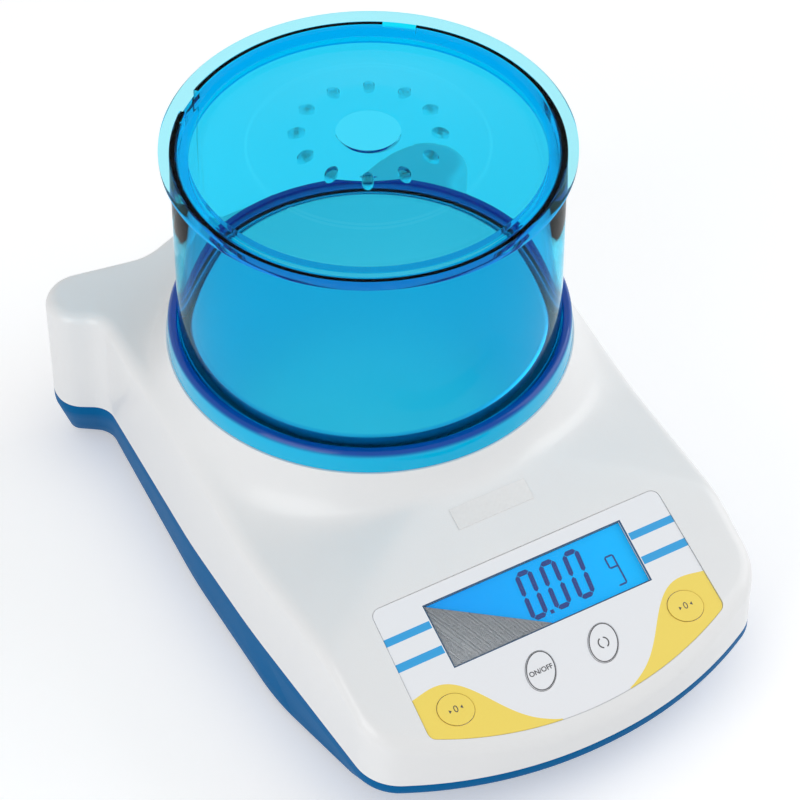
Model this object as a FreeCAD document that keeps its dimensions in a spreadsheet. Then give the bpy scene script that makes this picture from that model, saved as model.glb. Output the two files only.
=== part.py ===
import FreeCAD, Part
import Sketcher
import math
import os
from FreeCAD import Placement, Rotation, Vector

# Compact precision balance: a moulded two-part housing with a sloping control panel, a load cell
# inside that carries a round pan, and a blue draught shield with a lid over the pan.
# Z is up, the front with the display faces -Y, and the origin lies on the bench under the middle.

doc = FreeCAD.newDocument("precision_balance")
sheet = doc.addObject("Spreadsheet::Sheet", "Sizes")

# Every driving dimension in millimetres or degrees, in the order in which the balance is built.
SIZES = (
    ("body_depth", 248.0), ("pan_from_rear", 95.3), ("shell_wall", 2.4),
    ("parting_height", 24.0), ("base_bottom", 3.0), ("base_lip", 4.0),
    ("front_radius", 144.0), ("front_tangent_x", 33.8), ("front_corner_x", 74.7),
    ("front_corner_back", 20.3),
    ("front_corner_radius", 17.0), ("side_half_width", 77.3), ("side_back", 99.0), ("side_radius", 500.0),
    ("flank_half_width", 76.7), ("flank_from_rear", 104.0), ("flank_radius", 300.0),
    ("neck_half_width", 71.9), ("neck_from_rear", 30.5), ("neck_radius", 9.0),
    ("ear_half_width", 85.0), ("ear_length", 22.4), ("ear_front_radius", 11.0), ("ear_rear_radius", 14.0),
    ("dip_x", 43.0), ("dip_depth", 7.6), ("dip_radius", 20.0), ("rear_flat_x", 24.0),
    ("rear_flat_radius", 25.0),
    ("foot_line_front", 20.0), ("foot_line_corner_inset", 6.2), ("foot_line_corner_back", 37.2),
    ("foot_line_side_inset", 0.3), ("foot_line_side_back", 82.0), ("foot_line_side_radius", 100.0),
    ("foot_line_flank", 1.0), ("foot_line_neck_inset", 3.6), ("foot_line_neck_from_rear", 23.0),
    ("foot_line_ear_inset", 5.8), ("foot_line_ear_length", 15.0), ("foot_line_ear_radius", 5.5),
    ("foot_line_rear", 5.5), ("foot_line_rear_radius", 7.0),
    ("panel_back", 51.4), ("panel_height", 60.6), ("panel_slope", 25.16),
    ("side_height", 59.4), ("plateau_height", 67.9), ("roof_slope", 0.3), ("roof_soft", 2.5),
    ("ridge_soft", 14.0), ("rise_from", -55.0), ("rise_to", 12.0), ("fade_to", 60.0),
    ("collar_height", 84.2), ("collar_radius", 69.8), ("edge_bevel", 2.0), ("bed_border", 2.5),
    ("neck_run", 2.2), ("neck_fall", 8.0), ("knee_run", 5.5), ("knee_fall", 8.0), ("foot_run", 16.0),
    ("foot_fall", 9.0),
    ("overlay_top", 5.4), ("overlay_top_half", 54.8), ("overlay_low_half", 56.4), ("overlay_low", 40.4),
    ("overlay_bottom", 53.0), ("overlay_corner", 3.0), ("overlay_depth", 0.8), ("overlay_thickness", 0.5),
    ("lcd_width", 75.0), ("lcd_height", 22.0), ("window_thickness", 1.5), ("fit_gap", 0.2),
    ("lcd_thickness", 2.8), ("backlight_thickness", 3.0), ("board_thickness", 1.6),
    ("frame_wall", 3.0), ("display_board_half", 52.0), ("display_board_low", 43.0),
    ("key_x", 12.0), ("key_low", 34.9), ("key_long", 6.8), ("key_short", 5.1), ("key_lean", 28.6),
    ("tare_x", 44.1), ("tare_low", 35.0), ("tare_long", 6.2), ("tare_short", 5.3), ("tare_lean", 113.7),
    ("key_gap", 0.25), ("key_proud", 0.3), ("key_rim", 1.2), ("key_rim_thickness", 1.0),
    ("key_stem_end", 5.3),
    ("switch_size", 6.0), ("switch_top", 5.9),
    ("dish_radius", 63.6), ("dish_depth", 6.2), ("post_hole_radius", 12.0),
    ("ring_radius", 69.4), ("ring_height", 8.4), ("ring_bore", 62.5), ("ring_lip", 2.0),
    ("ring_lip_wall", 0.8),
    ("ring_step_radius", 65.6), ("ring_step_height", 3.2), ("ring_edge", 1.2),
    ("shield_radius", 65.3), ("shield_top_radius", 64.8), ("shield_wall", 2.4), ("shield_height", 75.6),
    ("notch_angle", 39.0), ("notch_width", 11.5), ("notch_depth", 3.0),
    ("lid_radius", 68.3), ("lid_flange", 1.9), ("lid_gap", 0.3), ("lid_spigot_wall", 3.2),
    ("lid_recess", 3.8), ("lid_spigot_drop", 1.5), ("lid_floor", 1.8), ("lid_land", 2.0),
    ("dome_radius", 39.8), ("ramp_rise", 4.1), ("dome_rise", 4.64), ("crown_rise", 1.16),
    ("lid_hole_radius", 10.7),
    ("vent_circle", 23.3), ("vent_count", 12), ("vent_long", 2.8), ("vent_short", 1.9),
    ("pan_radius", 60.0), ("pan_rise", 7.8), ("pan_sheet", 1.2), ("pan_skirt", 4.0),
    ("pan_edge_radius", 1.6),
    ("cushion_radius", 5.0), ("cushion_circle", 45.0), ("cushion_height", 5.0),
    ("arm_width", 12.0), ("arm_thickness", 3.5), ("arm_end", 1.0), ("hub_radius", 16.0),
    ("post_radius", 7.5), ("post_bore_low", 9.0), ("support_screw_low", 10.0),
    ("bracket_thickness", 3.0), ("bracket_half_width", 14.0), ("rib_depth", 15.0), ("cell_gap", 3.0),
    ("cell_length", 80.0), ("cell_width", 20.0), ("cell_height", 22.0), ("cell_end", 20.0),
    ("cell_bore", 7.0), ("cell_bore_spacing", 20.0), ("cell_slot", 3.0), ("cell_screw_radius", 2.0),
    ("cell_screw_spacing", 10.0), ("screw_head_radius", 3.8), ("screw_head_height", 3.0),
    ("screw_gap", 0.05),
    ("mount_plate_thickness", 4.0), ("mount_plate_half_width", 27.0), ("mount_plate_rear", 6.0),
    ("mount_boss_height", 6.0), ("mount_boss_radius", 5.0), ("stop_gap", 0.4), ("stop_radius", 2.5),
    ("battery_length", 50.0), ("battery_radius", 7.1), ("battery_nub", 2.75), ("battery_row", 15.0),
    ("battery_back", 86.5), ("battery_clear", 1.6), ("battery_wall", 1.8), ("battery_shift", 0.5),
    ("battery_cap", 1.0), ("contact_thickness", 0.9), ("door_thickness", 2.0), ("door_frame", 2.0),
    ("door_ledge", 3.0), ("door_gap", 0.3), ("spring_radius", 3.0),
    ("main_board_half", 46.0), ("main_board_depth", 44.0), ("standoff_height", 3.0),
    ("standoff_radius", 3.0),
    ("foot_front_inset", 25.3), ("foot_front_back", 47.0), ("foot_rear_inset", 31.0),
    ("foot_rear_from_rear", 25.5),
    ("foot_pocket_radius", 11.5), ("foot_pocket_depth", 6.5), ("foot_wall", 2.0),
    ("wheel_radius", 10.0), ("wheel_height", 6.4), ("wheel_flutes", 16), ("flute_radius", 1.1),
    ("stud_radius", 3.0), ("stud_length", 13.0), ("thread_gap", 0.05), ("insert_radius", 4.6),
    ("insert_height", 9.0), ("pad_radius", 9.0), ("pad_height", 2.8), ("pin_radius", 2.5),
    ("pin_length", 1.6),
    ("screw_post_radius", 5.0), ("case_screw_radius", 1.5), ("case_screw_head", 3.0),
    ("case_screw_sink", 9.0),
    ("case_screw_length", 26.0), ("case_head_height", 2.0), ("post_inset", 13.3), ("post_front_back", 84.0),
    ("post_rear_from_rear", 58.0),
    ("jack_x", 10.0), ("jack_height", 34.0), ("jack_width", 9.0), ("jack_tall", 11.0), ("jack_depth", 14.0),
    ("jack_bore", 3.2), ("jack_pin", 1.0), ("jack_floor", 3.0), ("jack_pin_sink", 1.0),
    ("vial_from_rear", 11.0), ("vial_radius", 7.0), ("vial_height", 7.0), ("vial_flange", 1.6),
    ("vial_proud", 0.4),
    ("vial_flange_gap", 0.2), ("vial_flange_thickness", 1.2),
)
for row, (alias, value) in enumerate(SIZES, 1):
    sheet.set("A%d" % row, alias)
    sheet.set("B%d" % row, str(value))
    sheet.setAlias("B%d" % row, alias)
doc.recompute()


class Size(float):
    """A length that knows its number and the sheet expression that gives it."""

    def __new__(cls, value, text):
        length = float.__new__(cls, value)
        length.text = text
        return length

    def __add__(self, other):
        return Size(float(self) + float(other), "(%s + %s)" % (self.text, expression(other)))

    def __radd__(self, other):
        return Size(float(other) + float(self), "(%s + %s)" % (expression(other), self.text))

    def __sub__(self, other):
        return Size(float(self) - float(other), "(%s - %s)" % (self.text, expression(other)))

    def __rsub__(self, other):
        return Size(float(other) - float(self), "(%s - %s)" % (expression(other), self.text))

    def __mul__(self, other):
        return Size(float(self) * float(other), "(%s * %s)" % (self.text, expression(other)))

    __rmul__ = __mul__

    def __truediv__(self, other):
        return Size(float(self) / float(other), "(%s / %s)" % (self.text, expression(other)))

    def __neg__(self):
        return Size(-float(self), "(0 - %s)" % self.text)


def expression(value):
    return value.text if isinstance(value, Size) else repr(float(value))


def size(alias):
    return Size(float(sheet.get(alias)), "Sizes.%s" % alias)


def bind(thing, prop, value):
    """Ties a property to the sheet, where the value comes from there."""
    if isinstance(value, Size):
        thing.setExpression(prop, value.text)


def place(thing, x=0.0, y=0.0, z=0.0):
    thing.Placement = Placement(Vector(float(x), float(y), float(z)), Rotation())
    for axis, value in (("x", x), ("y", y), ("z", z)):
        bind(thing, "Placement.Base." + axis, value)
    return thing


# Named values that several pieces share, worked out from the sheet. Places along Y are counted from
# the front or the rear edge, and the sketches of turned pieces lie on the pan's axis.
REAR = size("body_depth") / 2
FRONT = -REAR
PAN_Y = REAR - size("pan_from_rear")
PANEL_Y = FRONT + size("panel_back")
BATTERY_Y = FRONT + size("battery_back")
VIAL_Y = REAR - size("vial_from_rear")
FLANK_Y = REAR - size("flank_from_rear")
OVER = 1.0
WALL = size("shell_wall")
PARTING = size("parting_height")
BOTTOM = size("base_bottom")
FLOOR = BOTTOM + WALL
SLOPE = math.radians(size("panel_slope"))
SEAT = size("collar_height")
RING_TOP = SEAT + size("ring_height")
STEP = RING_TOP - size("ring_step_height")
SHIELD_TOP = STEP + size("shield_height")
DISH_FLOOR = SEAT - size("dish_depth")
PAN_TOP = SEAT + size("pan_rise")
OVERLAY_BACK = -size("overlay_depth")
OVERLAY_FACE = OVERLAY_BACK + size("overlay_thickness")
WALL_BACK = OVERLAY_BACK - WALL
WINDOW_BACK = OVERLAY_FACE - size("window_thickness")
LCD_BACK = WINDOW_BACK - size("lcd_thickness")
BOARD_FACE = LCD_BACK - size("backlight_thickness")
BOARD_BACK = BOARD_FACE - size("board_thickness")
PLATE_TOP = FLOOR + size("mount_boss_height") + size("mount_plate_thickness")
CELL_BOTTOM = PLATE_TOP + size("cell_gap")
CELL_TOP = CELL_BOTTOM + size("cell_height")
CELL_FRONT = PAN_Y - size("cell_length") / 2
CELL_REAR = PAN_Y + size("cell_length") / 2
BRACKET_BOTTOM = CELL_TOP + size("cell_gap")
BRACKET_TOP = BRACKET_BOTTOM + size("bracket_thickness")
PAN_SEAT = PAN_TOP - size("pan_sheet")
ARM_TOP = PAN_SEAT - size("cushion_height")
ARM_BOTTOM = ARM_TOP - size("arm_thickness")
BATTERY_HALF_X = size("battery_length") + size("battery_clear")
BATTERY_HALF_Y = size("battery_row") * 1.5
BATTERY_TOP = BOTTOM + size("door_thickness") + 2 * size("battery_radius") + 2 * size("fit_gap")
BATTERY_ROOF = BATTERY_TOP + size("battery_wall")
LID_TOP = SHIELD_TOP + size("lid_flange")
FOOT_FRONT_X = size("side_half_width") - size("foot_front_inset")
FOOT_FRONT_Y = FRONT + size("foot_front_back")
FOOT_REAR_X = size("ear_half_width") - size("foot_rear_inset")
FOOT_REAR_Y = REAR - size("foot_rear_from_rear")
FEET = (("front_left", -FOOT_FRONT_X, FOOT_FRONT_Y), ("front_right", FOOT_FRONT_X, FOOT_FRONT_Y),
        ("rear_left", -FOOT_REAR_X, FOOT_REAR_Y), ("rear_right", FOOT_REAR_X, FOOT_REAR_Y))


# Helpers that add objects to the document.
def box(name, low, extent):
    thing = doc.addObject("Part::Box", name)
    for prop, value in zip(("Length", "Width", "Height"), extent):
        setattr(thing, prop, float(value))
        bind(thing, prop, value)
    return place(thing, *low)


def rod(name, base, radius, height):
    thing = doc.addObject("Part::Cylinder", name)
    for prop, value in (("Radius", radius), ("Height", height)):
        setattr(thing, prop, float(value))
        bind(thing, prop, value)
    return place(thing, *base)


def fuse(name, things):
    thing = doc.addObject("Part::MultiFuse", name)
    thing.Shapes = things
    return thing


def cut(name, base, tools):
    thing = doc.addObject("Part::Cut", name)
    thing.Base = base
    thing.Tool = tools[0] if len(tools) == 1 else fuse(name + "_tools", tools)
    return thing


def group(name, things):
    """Separate like solids that share one node."""
    thing = doc.addObject("Part::Compound", name)
    thing.Links = things
    return thing


def solid(name, shape):
    thing = doc.addObject("Part::Feature", name)
    thing.Shape = shape
    return thing


def new_body(label):
    body = doc.addObject("PartDesign::Body", label)
    body.Label = label
    return body


def new_sketch(body, name, role="XY_Plane", offset=0.0):
    sketch = body.newObject("Sketcher::SketchObject", name)
    plane = [item for item in body.Origin.OriginFeatures if item.Role == role][0]
    sketch.AttachmentSupport = [(plane, "")]
    sketch.MapMode = "FlatFace"
    sketch.AttachmentOffset = Placement(Vector(0, 0, float(offset)), Rotation())
    bind(sketch, "AttachmentOffset.Base.z", offset)
    return sketch


def hold(sketch, geometry, position, point):
    """Holds a point of a sketch by its two coordinates."""
    for kind, value in zip(("DistanceX", "DistanceY"), point):
        index = sketch.addConstraint(Sketcher.Constraint(kind, -1, 1, geometry, position, float(value)))
        bind(sketch, "Constraints[%d]" % index, value)


def draw_loop(sketch, points):
    """A closed run of straight lines through the given corners."""
    first = sketch.GeometryCount
    count = len(points)
    for index, start in enumerate(points):
        end = points[(index + 1) % count]
        sketch.addGeometry(Part.LineSegment(Vector(*start), Vector(*end)))
    for index in range(count):
        following = first + (index + 1) % count
        sketch.addConstraint(Sketcher.Constraint("Coincident", first + index, 2, following, 1))
    for index, point in enumerate(points):
        hold(sketch, first + index, 1, point)


def draw_circle(sketch, centre, radius):
    index = sketch.addGeometry(Part.Circle(Vector(*centre), Vector(0, 0, 1), float(radius)))
    radius_index = sketch.addConstraint(Sketcher.Constraint("Radius", index, float(radius)))
    bind(sketch, "Constraints[%d]" % radius_index, radius)
    hold(sketch, index, 3, centre)


def rectangle(centre_x, centre_y, width, depth):
    return ((centre_x - width / 2, centre_y - depth / 2), (centre_x + width / 2, centre_y - depth / 2),
            (centre_x + width / 2, centre_y + depth / 2), (centre_x - width / 2, centre_y + depth / 2))


def pad(body, sketch, length, reverse=False):
    feature = body.newObject("PartDesign::Pad", sketch.Name + "_pad")
    feature.Profile = sketch
    feature.Length = float(length)
    bind(feature, "Length", length)
    feature.Reversed = reverse
    sketch.Visibility = False
    return feature


def pocket(body, sketch, length=None, reverse=False):
    feature = body.newObject("PartDesign::Pocket", sketch.Name + "_pocket")
    feature.Profile = sketch
    feature.Reversed = reverse
    if length is None:
        feature.Type = "ThroughAll"
    else:
        feature.Length = float(length)
        bind(feature, "Length", length)
    return feature


def revolve(body, sketch):
    feature = body.newObject("PartDesign::Revolution", sketch.Name + "_turned")
    feature.Profile = sketch
    feature.ReferenceAxis = (sketch, ["V_Axis"])
    feature.Angle = 360.0
    return feature


def turn_pattern(body, feature, sketch, count):
    pattern = body.newObject("PartDesign::PolarPattern", feature.Name + "_ring")
    pattern.Originals = [feature]
    pattern.Axis = (sketch, ["N_Axis"])
    pattern.Angle = 360.0
    pattern.Occurrences = int(count)
    body.Tip = pattern
    return pattern


# Outlines: corners with a radius each, joined by straight lines and tangent arcs.
def inset_corners(corners, inset):
    """Moves every side of the outline inwards, and changes the corner radii to suit."""
    count = len(corners)
    moved = []
    for index, (x, y, radius) in enumerate(corners):
        before = Vector(*corners[index - 1][:2])
        here = Vector(x, y)
        after = Vector(*corners[(index + 1) % count][:2])
        first = (here - before).normalize()
        second = (after - here).normalize()
        turn = first.x * second.y - first.y * second.x
        normals = Vector(-first.y, first.x) + Vector(-second.y, second.x)
        reach = inset * 2 / normals.dot(normals) if normals.Length else 0
        point = here + normals * reach
        moved.append((point.x, point.y, max(radius - inset, 0.5) if turn > 0 else radius + inset))
    return moved


ARC_SHARE = 0.97


def rounded_wire(corners, height=0.0):
    """The closed wire of an outline whose corners are rounded by tangent arcs. Where two arcs
    would run into each other, they share the side between them."""
    count = len(corners)
    points = [Vector(x, y, height) for x, y, radius in corners]
    runs = [(points[(index + 1) % count] - points[index]).Length for index in range(count)]
    turns = []
    for index in range(count):
        first = points[index] - points[index - 1]
        turns.append(first.getAngle(points[(index + 1) % count] - points[index]))
    wanted = [corners[index][2] * math.tan(turns[index] / 2) for index in range(count)]
    arcs = []
    for index, here in enumerate(points):
        share_before = runs[index - 1] * wanted[index] / (wanted[index - 1] + wanted[index])
        share_after = runs[index] * wanted[index] / (wanted[(index + 1) % count] + wanted[index])
        tangent = min(wanted[index], share_before * ARC_SHARE, share_after * ARC_SHARE)
        radius = tangent / math.tan(turns[index] / 2)
        first = (here - points[index - 1]).normalize()
        second = (points[(index + 1) % count] - here).normalize()
        bulge = radius / math.cos(turns[index] / 2) - radius
        middle = here + (second - first).normalize() * bulge
        arcs.append((here - first * tangent, middle, here + second * tangent))
    edges = []
    for index, (start, middle, end) in enumerate(arcs):
        edges.append(Part.Arc(start, middle, end).toShape())
        edges.append(Part.LineSegment(end, arcs[(index + 1) % count][0]).toShape())
    return Part.Wire(edges)


def both_sides(right):
    """The full outline from its right half, which runs from the front to the rear."""
    left = [(-x, y, radius) for x, y, radius in reversed(right)]
    return right + left


def parting_corners():
    """The housing's outline where its two halves meet."""
    return both_sides([
        (size("front_tangent_x"), FRONT, size("front_radius")),
        (size("front_corner_x"), FRONT + size("front_corner_back"), size("front_corner_radius")),
        (size("side_half_width"), FRONT + size("side_back"), size("side_radius")),
        (size("flank_half_width"), FLANK_Y, size("flank_radius")),
        (size("neck_half_width"), REAR - size("neck_from_rear"), size("neck_radius")),
        (size("ear_half_width"), REAR - size("ear_length"), size("ear_front_radius")),
        (size("ear_half_width"), REAR, size("ear_rear_radius")),
        (size("dip_x"), REAR - size("dip_depth"), size("dip_radius")),
        (size("rear_flat_x"), REAR, size("rear_flat_radius")),
    ])


def foot_corners():
    """The outline of the base's flat bottom, which lies well inside the front and the ears."""
    rear = REAR - size("foot_line_rear")
    ear = size("ear_half_width") - size("foot_line_ear_inset")
    return both_sides([
        (size("front_tangent_x"), FRONT + size("foot_line_front"), size("front_radius")),
        (size("front_corner_x") - size("foot_line_corner_inset"), FRONT + size("foot_line_corner_back"),
         size("front_corner_radius")),
        (size("side_half_width") - size("foot_line_side_inset"), FRONT + size("foot_line_side_back"),
         size("foot_line_side_radius")),
        (size("flank_half_width") - size("foot_line_flank"), FLANK_Y, size("flank_radius")),
        (size("neck_half_width") - size("foot_line_neck_inset"), REAR - size("foot_line_neck_from_rear"),
         size("neck_radius")),
        (ear, REAR - size("foot_line_ear_length"), size("foot_line_ear_radius")),
        (ear, rear, size("foot_line_rear_radius")),
        (size("dip_x"), rear - size("dip_depth"), size("dip_radius")),
        (size("rear_flat_x"), rear, size("rear_flat_radius")),
    ])


def prism(corners, low, high):
    face = Part.Face(rounded_wire(corners, float(low)))
    return face.extrude(Vector(0, 0, float(high - low)))


# The crown of the upper housing: one smooth sheet whose height is a formula.
def soft_max(first, second, width):
    return (first + second + math.hypot(first - second, width)) / 2


def soft_min(first, second, width):
    return -soft_max(-first, -second, width)


def smooth_step(value, low, high):
    share = min(max((value - low) / (high - low), 0.0), 1.0)
    return share * share * (3 - 2 * share)


SHEET_MARGIN = 12.0
SHEET_COLUMNS = 20
SHEET_ROWS = 32
COLLAR_DROP = 30.0


def crown_height(x, y):
    """Height of the top sheet, collar left out: the panel's plane in front, a roof that falls
    to the sides further back, and the level ears at the rear."""
    along = y - PAN_Y
    panel = size("panel_height") + math.tan(SLOPE) * (y - PANEL_Y)
    level = size("side_height")
    level += (size("plateau_height") - level) * smooth_step(along, size("rise_from"), size("rise_to"))
    fade = 1 - smooth_step(along, 0.0, size("fade_to"))
    roof = level + fade * size("roof_slope") * (size("side_half_width") - math.hypot(x, size("ridge_soft")))
    return float(soft_min(panel, roof, size("roof_soft")))


def crown_solid(drop):
    """Everything below the top sheet, lowered by a wall where the inside is made."""
    reach_x = float(size("ear_half_width") + SHEET_MARGIN)
    reach_y = float(REAR + SHEET_MARGIN)
    points = []
    for column in range(SHEET_COLUMNS + 1):
        x = -reach_x + 2 * reach_x * column / SHEET_COLUMNS
        line = []
        for row in range(SHEET_ROWS + 1):
            y = -reach_y + 2 * reach_y * row / SHEET_ROWS
            line.append(Vector(x, y, crown_height(x, y) - drop))
        points.append(line)
    surface = Part.BSplineSurface()
    surface.interpolate(points)
    return surface.toShape().extrude(Vector(0, 0, -float(SEAT + PARTING)))


def collar_solid(inset, drop):
    """The raised collar under the draught ring: a steep neck that opens into a wide, flatter foot."""
    top = float(SEAT - drop)
    radius = float(size("collar_radius") - inset)
    points = [Vector(0, 0, top - COLLAR_DROP), Vector(0, 0, top), Vector(radius, 0, top)]
    for run, fall in (("neck_run", "neck_fall"), ("knee_run", "knee_fall"), ("foot_run", "foot_fall")):
        last = points[-1]
        points.append(Vector(last.x + float(size(run)), 0, last.z - float(size(fall))))
    points.append(Vector(points[-1].x, 0, top - COLLAR_DROP))
    profile = Part.Face(Part.makePolygon(points + points[:1]))
    shape = profile.revolve(Vector(0, 0, 0), Vector(0, 0, 1), 360)
    shape.translate(Vector(0, float(PAN_Y), 0))
    return shape


def overlay_face(grow):
    """The control panel's label: straight top and sides, a bowed lower edge and rounded corners."""
    top = float(size("overlay_top")) + grow
    bottom = float(-size("overlay_bottom")) - grow
    top_right = Vector(float(size("overlay_top_half")) + grow, top)
    low_right = Vector(float(size("overlay_low_half")) + grow, float(-size("overlay_low")))
    top_left = Vector(-top_right.x, top_right.y)
    low_left = Vector(-low_right.x, low_right.y)
    edges = [Part.LineSegment(top_left, top_right).toShape(),
             Part.LineSegment(top_right, low_right).toShape(),
             Part.Arc(low_right, Vector(0, bottom), low_left).toShape(),
             Part.LineSegment(low_left, top_left).toShape()]
    slab = Part.Face(Part.Wire(edges)).extrude(Vector(0, 0, 1))
    uprights = [edge for edge in slab.Edges if abs(edge.tangentAt(edge.FirstParameter).z) > 0.9]
    slab = slab.makeFillet(float(size("overlay_corner")) + grow, uprights)
    return [face for face in slab.Faces if face.normalAt(0, 0).z < -0.9][0]


def oval_face(centre, long_radius, short_radius, lean):
    """An oval whose long axis leans clockwise from the panel's up-slope direction."""
    angle = math.radians(lean)
    along = Vector(math.sin(angle), math.cos(angle))
    across = Vector(math.cos(angle), -math.sin(angle))
    middle = Vector(*centre)
    first, second = along * float(long_radius), across * float(short_radius)
    oval = Part.Ellipse(middle + first, middle + second, middle)
    return Part.Face(Part.Wire(oval.toShape()))


KEYS = (("key_on_off", -size("key_x"), size("key_low"), size("key_long"), size("key_short"),
         size("key_lean")),
        ("key_unit", size("key_x"), size("key_low"), size("key_long"), size("key_short"), size("key_lean")),
        ("key_tare_left", -size("tare_x"), size("tare_low"), size("tare_long"), size("tare_short"),
         size("tare_lean")),
        ("key_tare_right", size("tare_x"), size("tare_low"), size("tare_long"), size("tare_short"),
         size("tare_lean")))


def key_prism(key, grow, low, high):
    name, x, down, long_radius, short_radius, lean = key
    face = oval_face((x, -down), long_radius + grow, short_radius + grow, lean)
    face.translate(Vector(0, 0, float(low)))
    return face.extrude(Vector(0, 0, float(high - low)))


def panel_placement():
    return Placement(Vector(0, float(PANEL_Y), float(size("panel_height"))),
                     Rotation(Vector(1, 0, 0), float(size("panel_slope"))))


def tilted(shape):
    shape.Placement = panel_placement()
    return shape


# Lower housing: a blue moulded tub with an upright lip and sides that lean in below it. It has
# an open battery bay, pockets for four levelling feet, and posts for the screws and the boards.
def tub_solid(inset, low, high):
    lip = PARTING - size("base_lip")
    upper = inset_corners(parting_corners(), inset)
    lower = inset_corners(foot_corners(), inset)
    hull = Part.makeLoft([rounded_wire(lower, float(low)), rounded_wire(upper, float(lip))], True, True)
    return hull.fuse(prism(upper, lip, high)).removeSplitter()


tub_outside = tub_solid(0.0, BOTTOM, PARTING)
tub_shell = solid("tub_shell", tub_outside.cut(tub_solid(float(WALL), FLOOR, PARTING + OVER)))

BAY_WALL = size("battery_wall")
BAY_LOW_Y = BATTERY_Y - BATTERY_HALF_Y
DOOR_LEDGE = size("door_ledge")
DOOR_FRAME = DOOR_LEDGE + size("door_frame")
DOOR_DEPTH = size("door_thickness")
bay_block = box("bay_block", (-BATTERY_HALF_X - BAY_WALL, BAY_LOW_Y - BAY_WALL, BOTTOM),
                (2 * (BATTERY_HALF_X + BAY_WALL), 2 * (BATTERY_HALF_Y + BAY_WALL), BATTERY_ROOF - BOTTOM))
bay_frame = box("bay_frame", (-BATTERY_HALF_X - DOOR_FRAME, BAY_LOW_Y - DOOR_FRAME, BOTTOM),
                (2 * (BATTERY_HALF_X + DOOR_FRAME), 2 * (BATTERY_HALF_Y + DOOR_FRAME), 2 * DOOR_DEPTH))
bay_space = box("bay_space", (-BATTERY_HALF_X, BAY_LOW_Y, BOTTOM - OVER),
                (2 * BATTERY_HALF_X, 2 * BATTERY_HALF_Y, BATTERY_TOP - BOTTOM + OVER))
door_seat = box("door_seat", (-BATTERY_HALF_X - DOOR_LEDGE, BAY_LOW_Y - DOOR_LEDGE, BOTTOM - OVER),
                (2 * (BATTERY_HALF_X + DOOR_LEDGE), 2 * (BATTERY_HALF_Y + DOOR_LEDGE), DOOR_DEPTH + OVER))

POCKET_TOP = BOTTOM + size("foot_pocket_depth")
INSERT_TOP = POCKET_TOP + size("insert_height")
BOSS_TOP = INSERT_TOP + size("stud_length") / 2
added = [bay_block, bay_frame]
removed = [bay_space, door_seat]
for name, x, y in FEET:
    added.append(rod(name + "_pocket_wall", (x, y, BOTTOM),
                     size("foot_pocket_radius") + size("foot_wall"),
                     POCKET_TOP + size("foot_wall") - BOTTOM))
    added.append(rod(name + "_boss", (x, y, POCKET_TOP), size("insert_radius") + size("foot_wall"),
                     BOSS_TOP - POCKET_TOP))
    removed.append(rod(name + "_pocket", (x, y, BOTTOM - OVER), size("foot_pocket_radius"),
                       POCKET_TOP - BOTTOM + OVER))
    removed.append(rod(name + "_insert_bore", (x, y, POCKET_TOP - OVER), size("insert_radius"),
                       size("insert_height") + OVER))
    removed.append(rod(name + "_stud_bore", (x, y, INSERT_TOP - OVER),
                       size("stud_radius") + size("fit_gap"),
                       BOSS_TOP - INSERT_TOP))

POST_X = size("side_half_width") - size("post_inset")
POST_FRONT_Y = FRONT + size("post_front_back")
POST_REAR_Y = REAR - size("post_rear_from_rear")
POSTS = (("front_left", -POST_X, POST_FRONT_Y), ("front_right", POST_X, POST_FRONT_Y),
         ("rear_left", -POST_X, POST_REAR_Y), ("rear_right", POST_X, POST_REAR_Y))
SCREW_SEAT = BOTTOM + size("case_screw_sink")
SCREW_CLEAR = size("case_screw_radius") + size("screw_gap")
HEAD_CLEAR = size("case_screw_head") + size("fit_gap")
for name, x, y in POSTS:
    added.append(rod(name + "_base_post", (x, y, BOTTOM), size("screw_post_radius"), PARTING - BOTTOM))
    removed.append(rod(name + "_head_bore", (x, y, BOTTOM - OVER), HEAD_CLEAR,
                       size("case_screw_sink") + OVER))
    removed.append(rod(name + "_shank_bore", (x, y, BOTTOM), SCREW_CLEAR, PARTING - BOTTOM + OVER))

PLATE_BOTTOM = PLATE_TOP - size("mount_plate_thickness")
PLATE_REAR = CELL_REAR + size("mount_plate_rear")
PLATE_HALF = size("mount_plate_half_width")
BOSS_RADIUS = size("mount_boss_radius")
PLATE_POSTS = [(side * (PLATE_HALF - BOSS_RADIUS), y)
               for side in (-1, 1) for y in (CELL_FRONT + BOSS_RADIUS, PLATE_REAR - BOSS_RADIUS)]
for index, (x, y) in enumerate(PLATE_POSTS):
    added.append(rod("plate_post_%d" % index, (x, y, BOTTOM + WALL / 2), BOSS_RADIUS,
                     PLATE_BOTTOM - BOTTOM - WALL / 2))
    removed.append(rod("plate_screw_bore_%d" % index, (x, y, FLOOR), size("cell_screw_radius"),
                       PLATE_TOP - FLOOR))

BOARD_HALF_X = size("main_board_half")
BOARD_HALF_Y = size("main_board_depth") / 2
BOARD_LOW = BATTERY_ROOF + size("standoff_height")
BOARD_TOP = BOARD_LOW + size("board_thickness")
STANDOFF = size("standoff_radius")
STANDOFFS = [(side_x * (BOARD_HALF_X - STANDOFF), BATTERY_Y + side_y * (BOARD_HALF_Y - STANDOFF))
             for side_x in (-1, 1) for side_y in (-1, 1)]
for index, (x, y) in enumerate(STANDOFFS):
    added.append(rod("standoff_%d" % index, (x, y, BATTERY_ROOF - BAY_WALL / 2), STANDOFF,
                     BOARD_LOW - BATTERY_ROOF + BAY_WALL / 2))
tub_solid_parts = fuse("tub_with_posts", [tub_shell] + added)
tub_limit = solid("tub_limit", tub_outside.fuse(prism(inset_corners(parting_corners(), float(WALL)),
                                                      PARTING - OVER, BATTERY_ROOF + PARTING)))
tub_trimmed = doc.addObject("Part::MultiCommon", "tub_trimmed")
tub_trimmed.Shapes = [tub_solid_parts, tub_limit]
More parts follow.
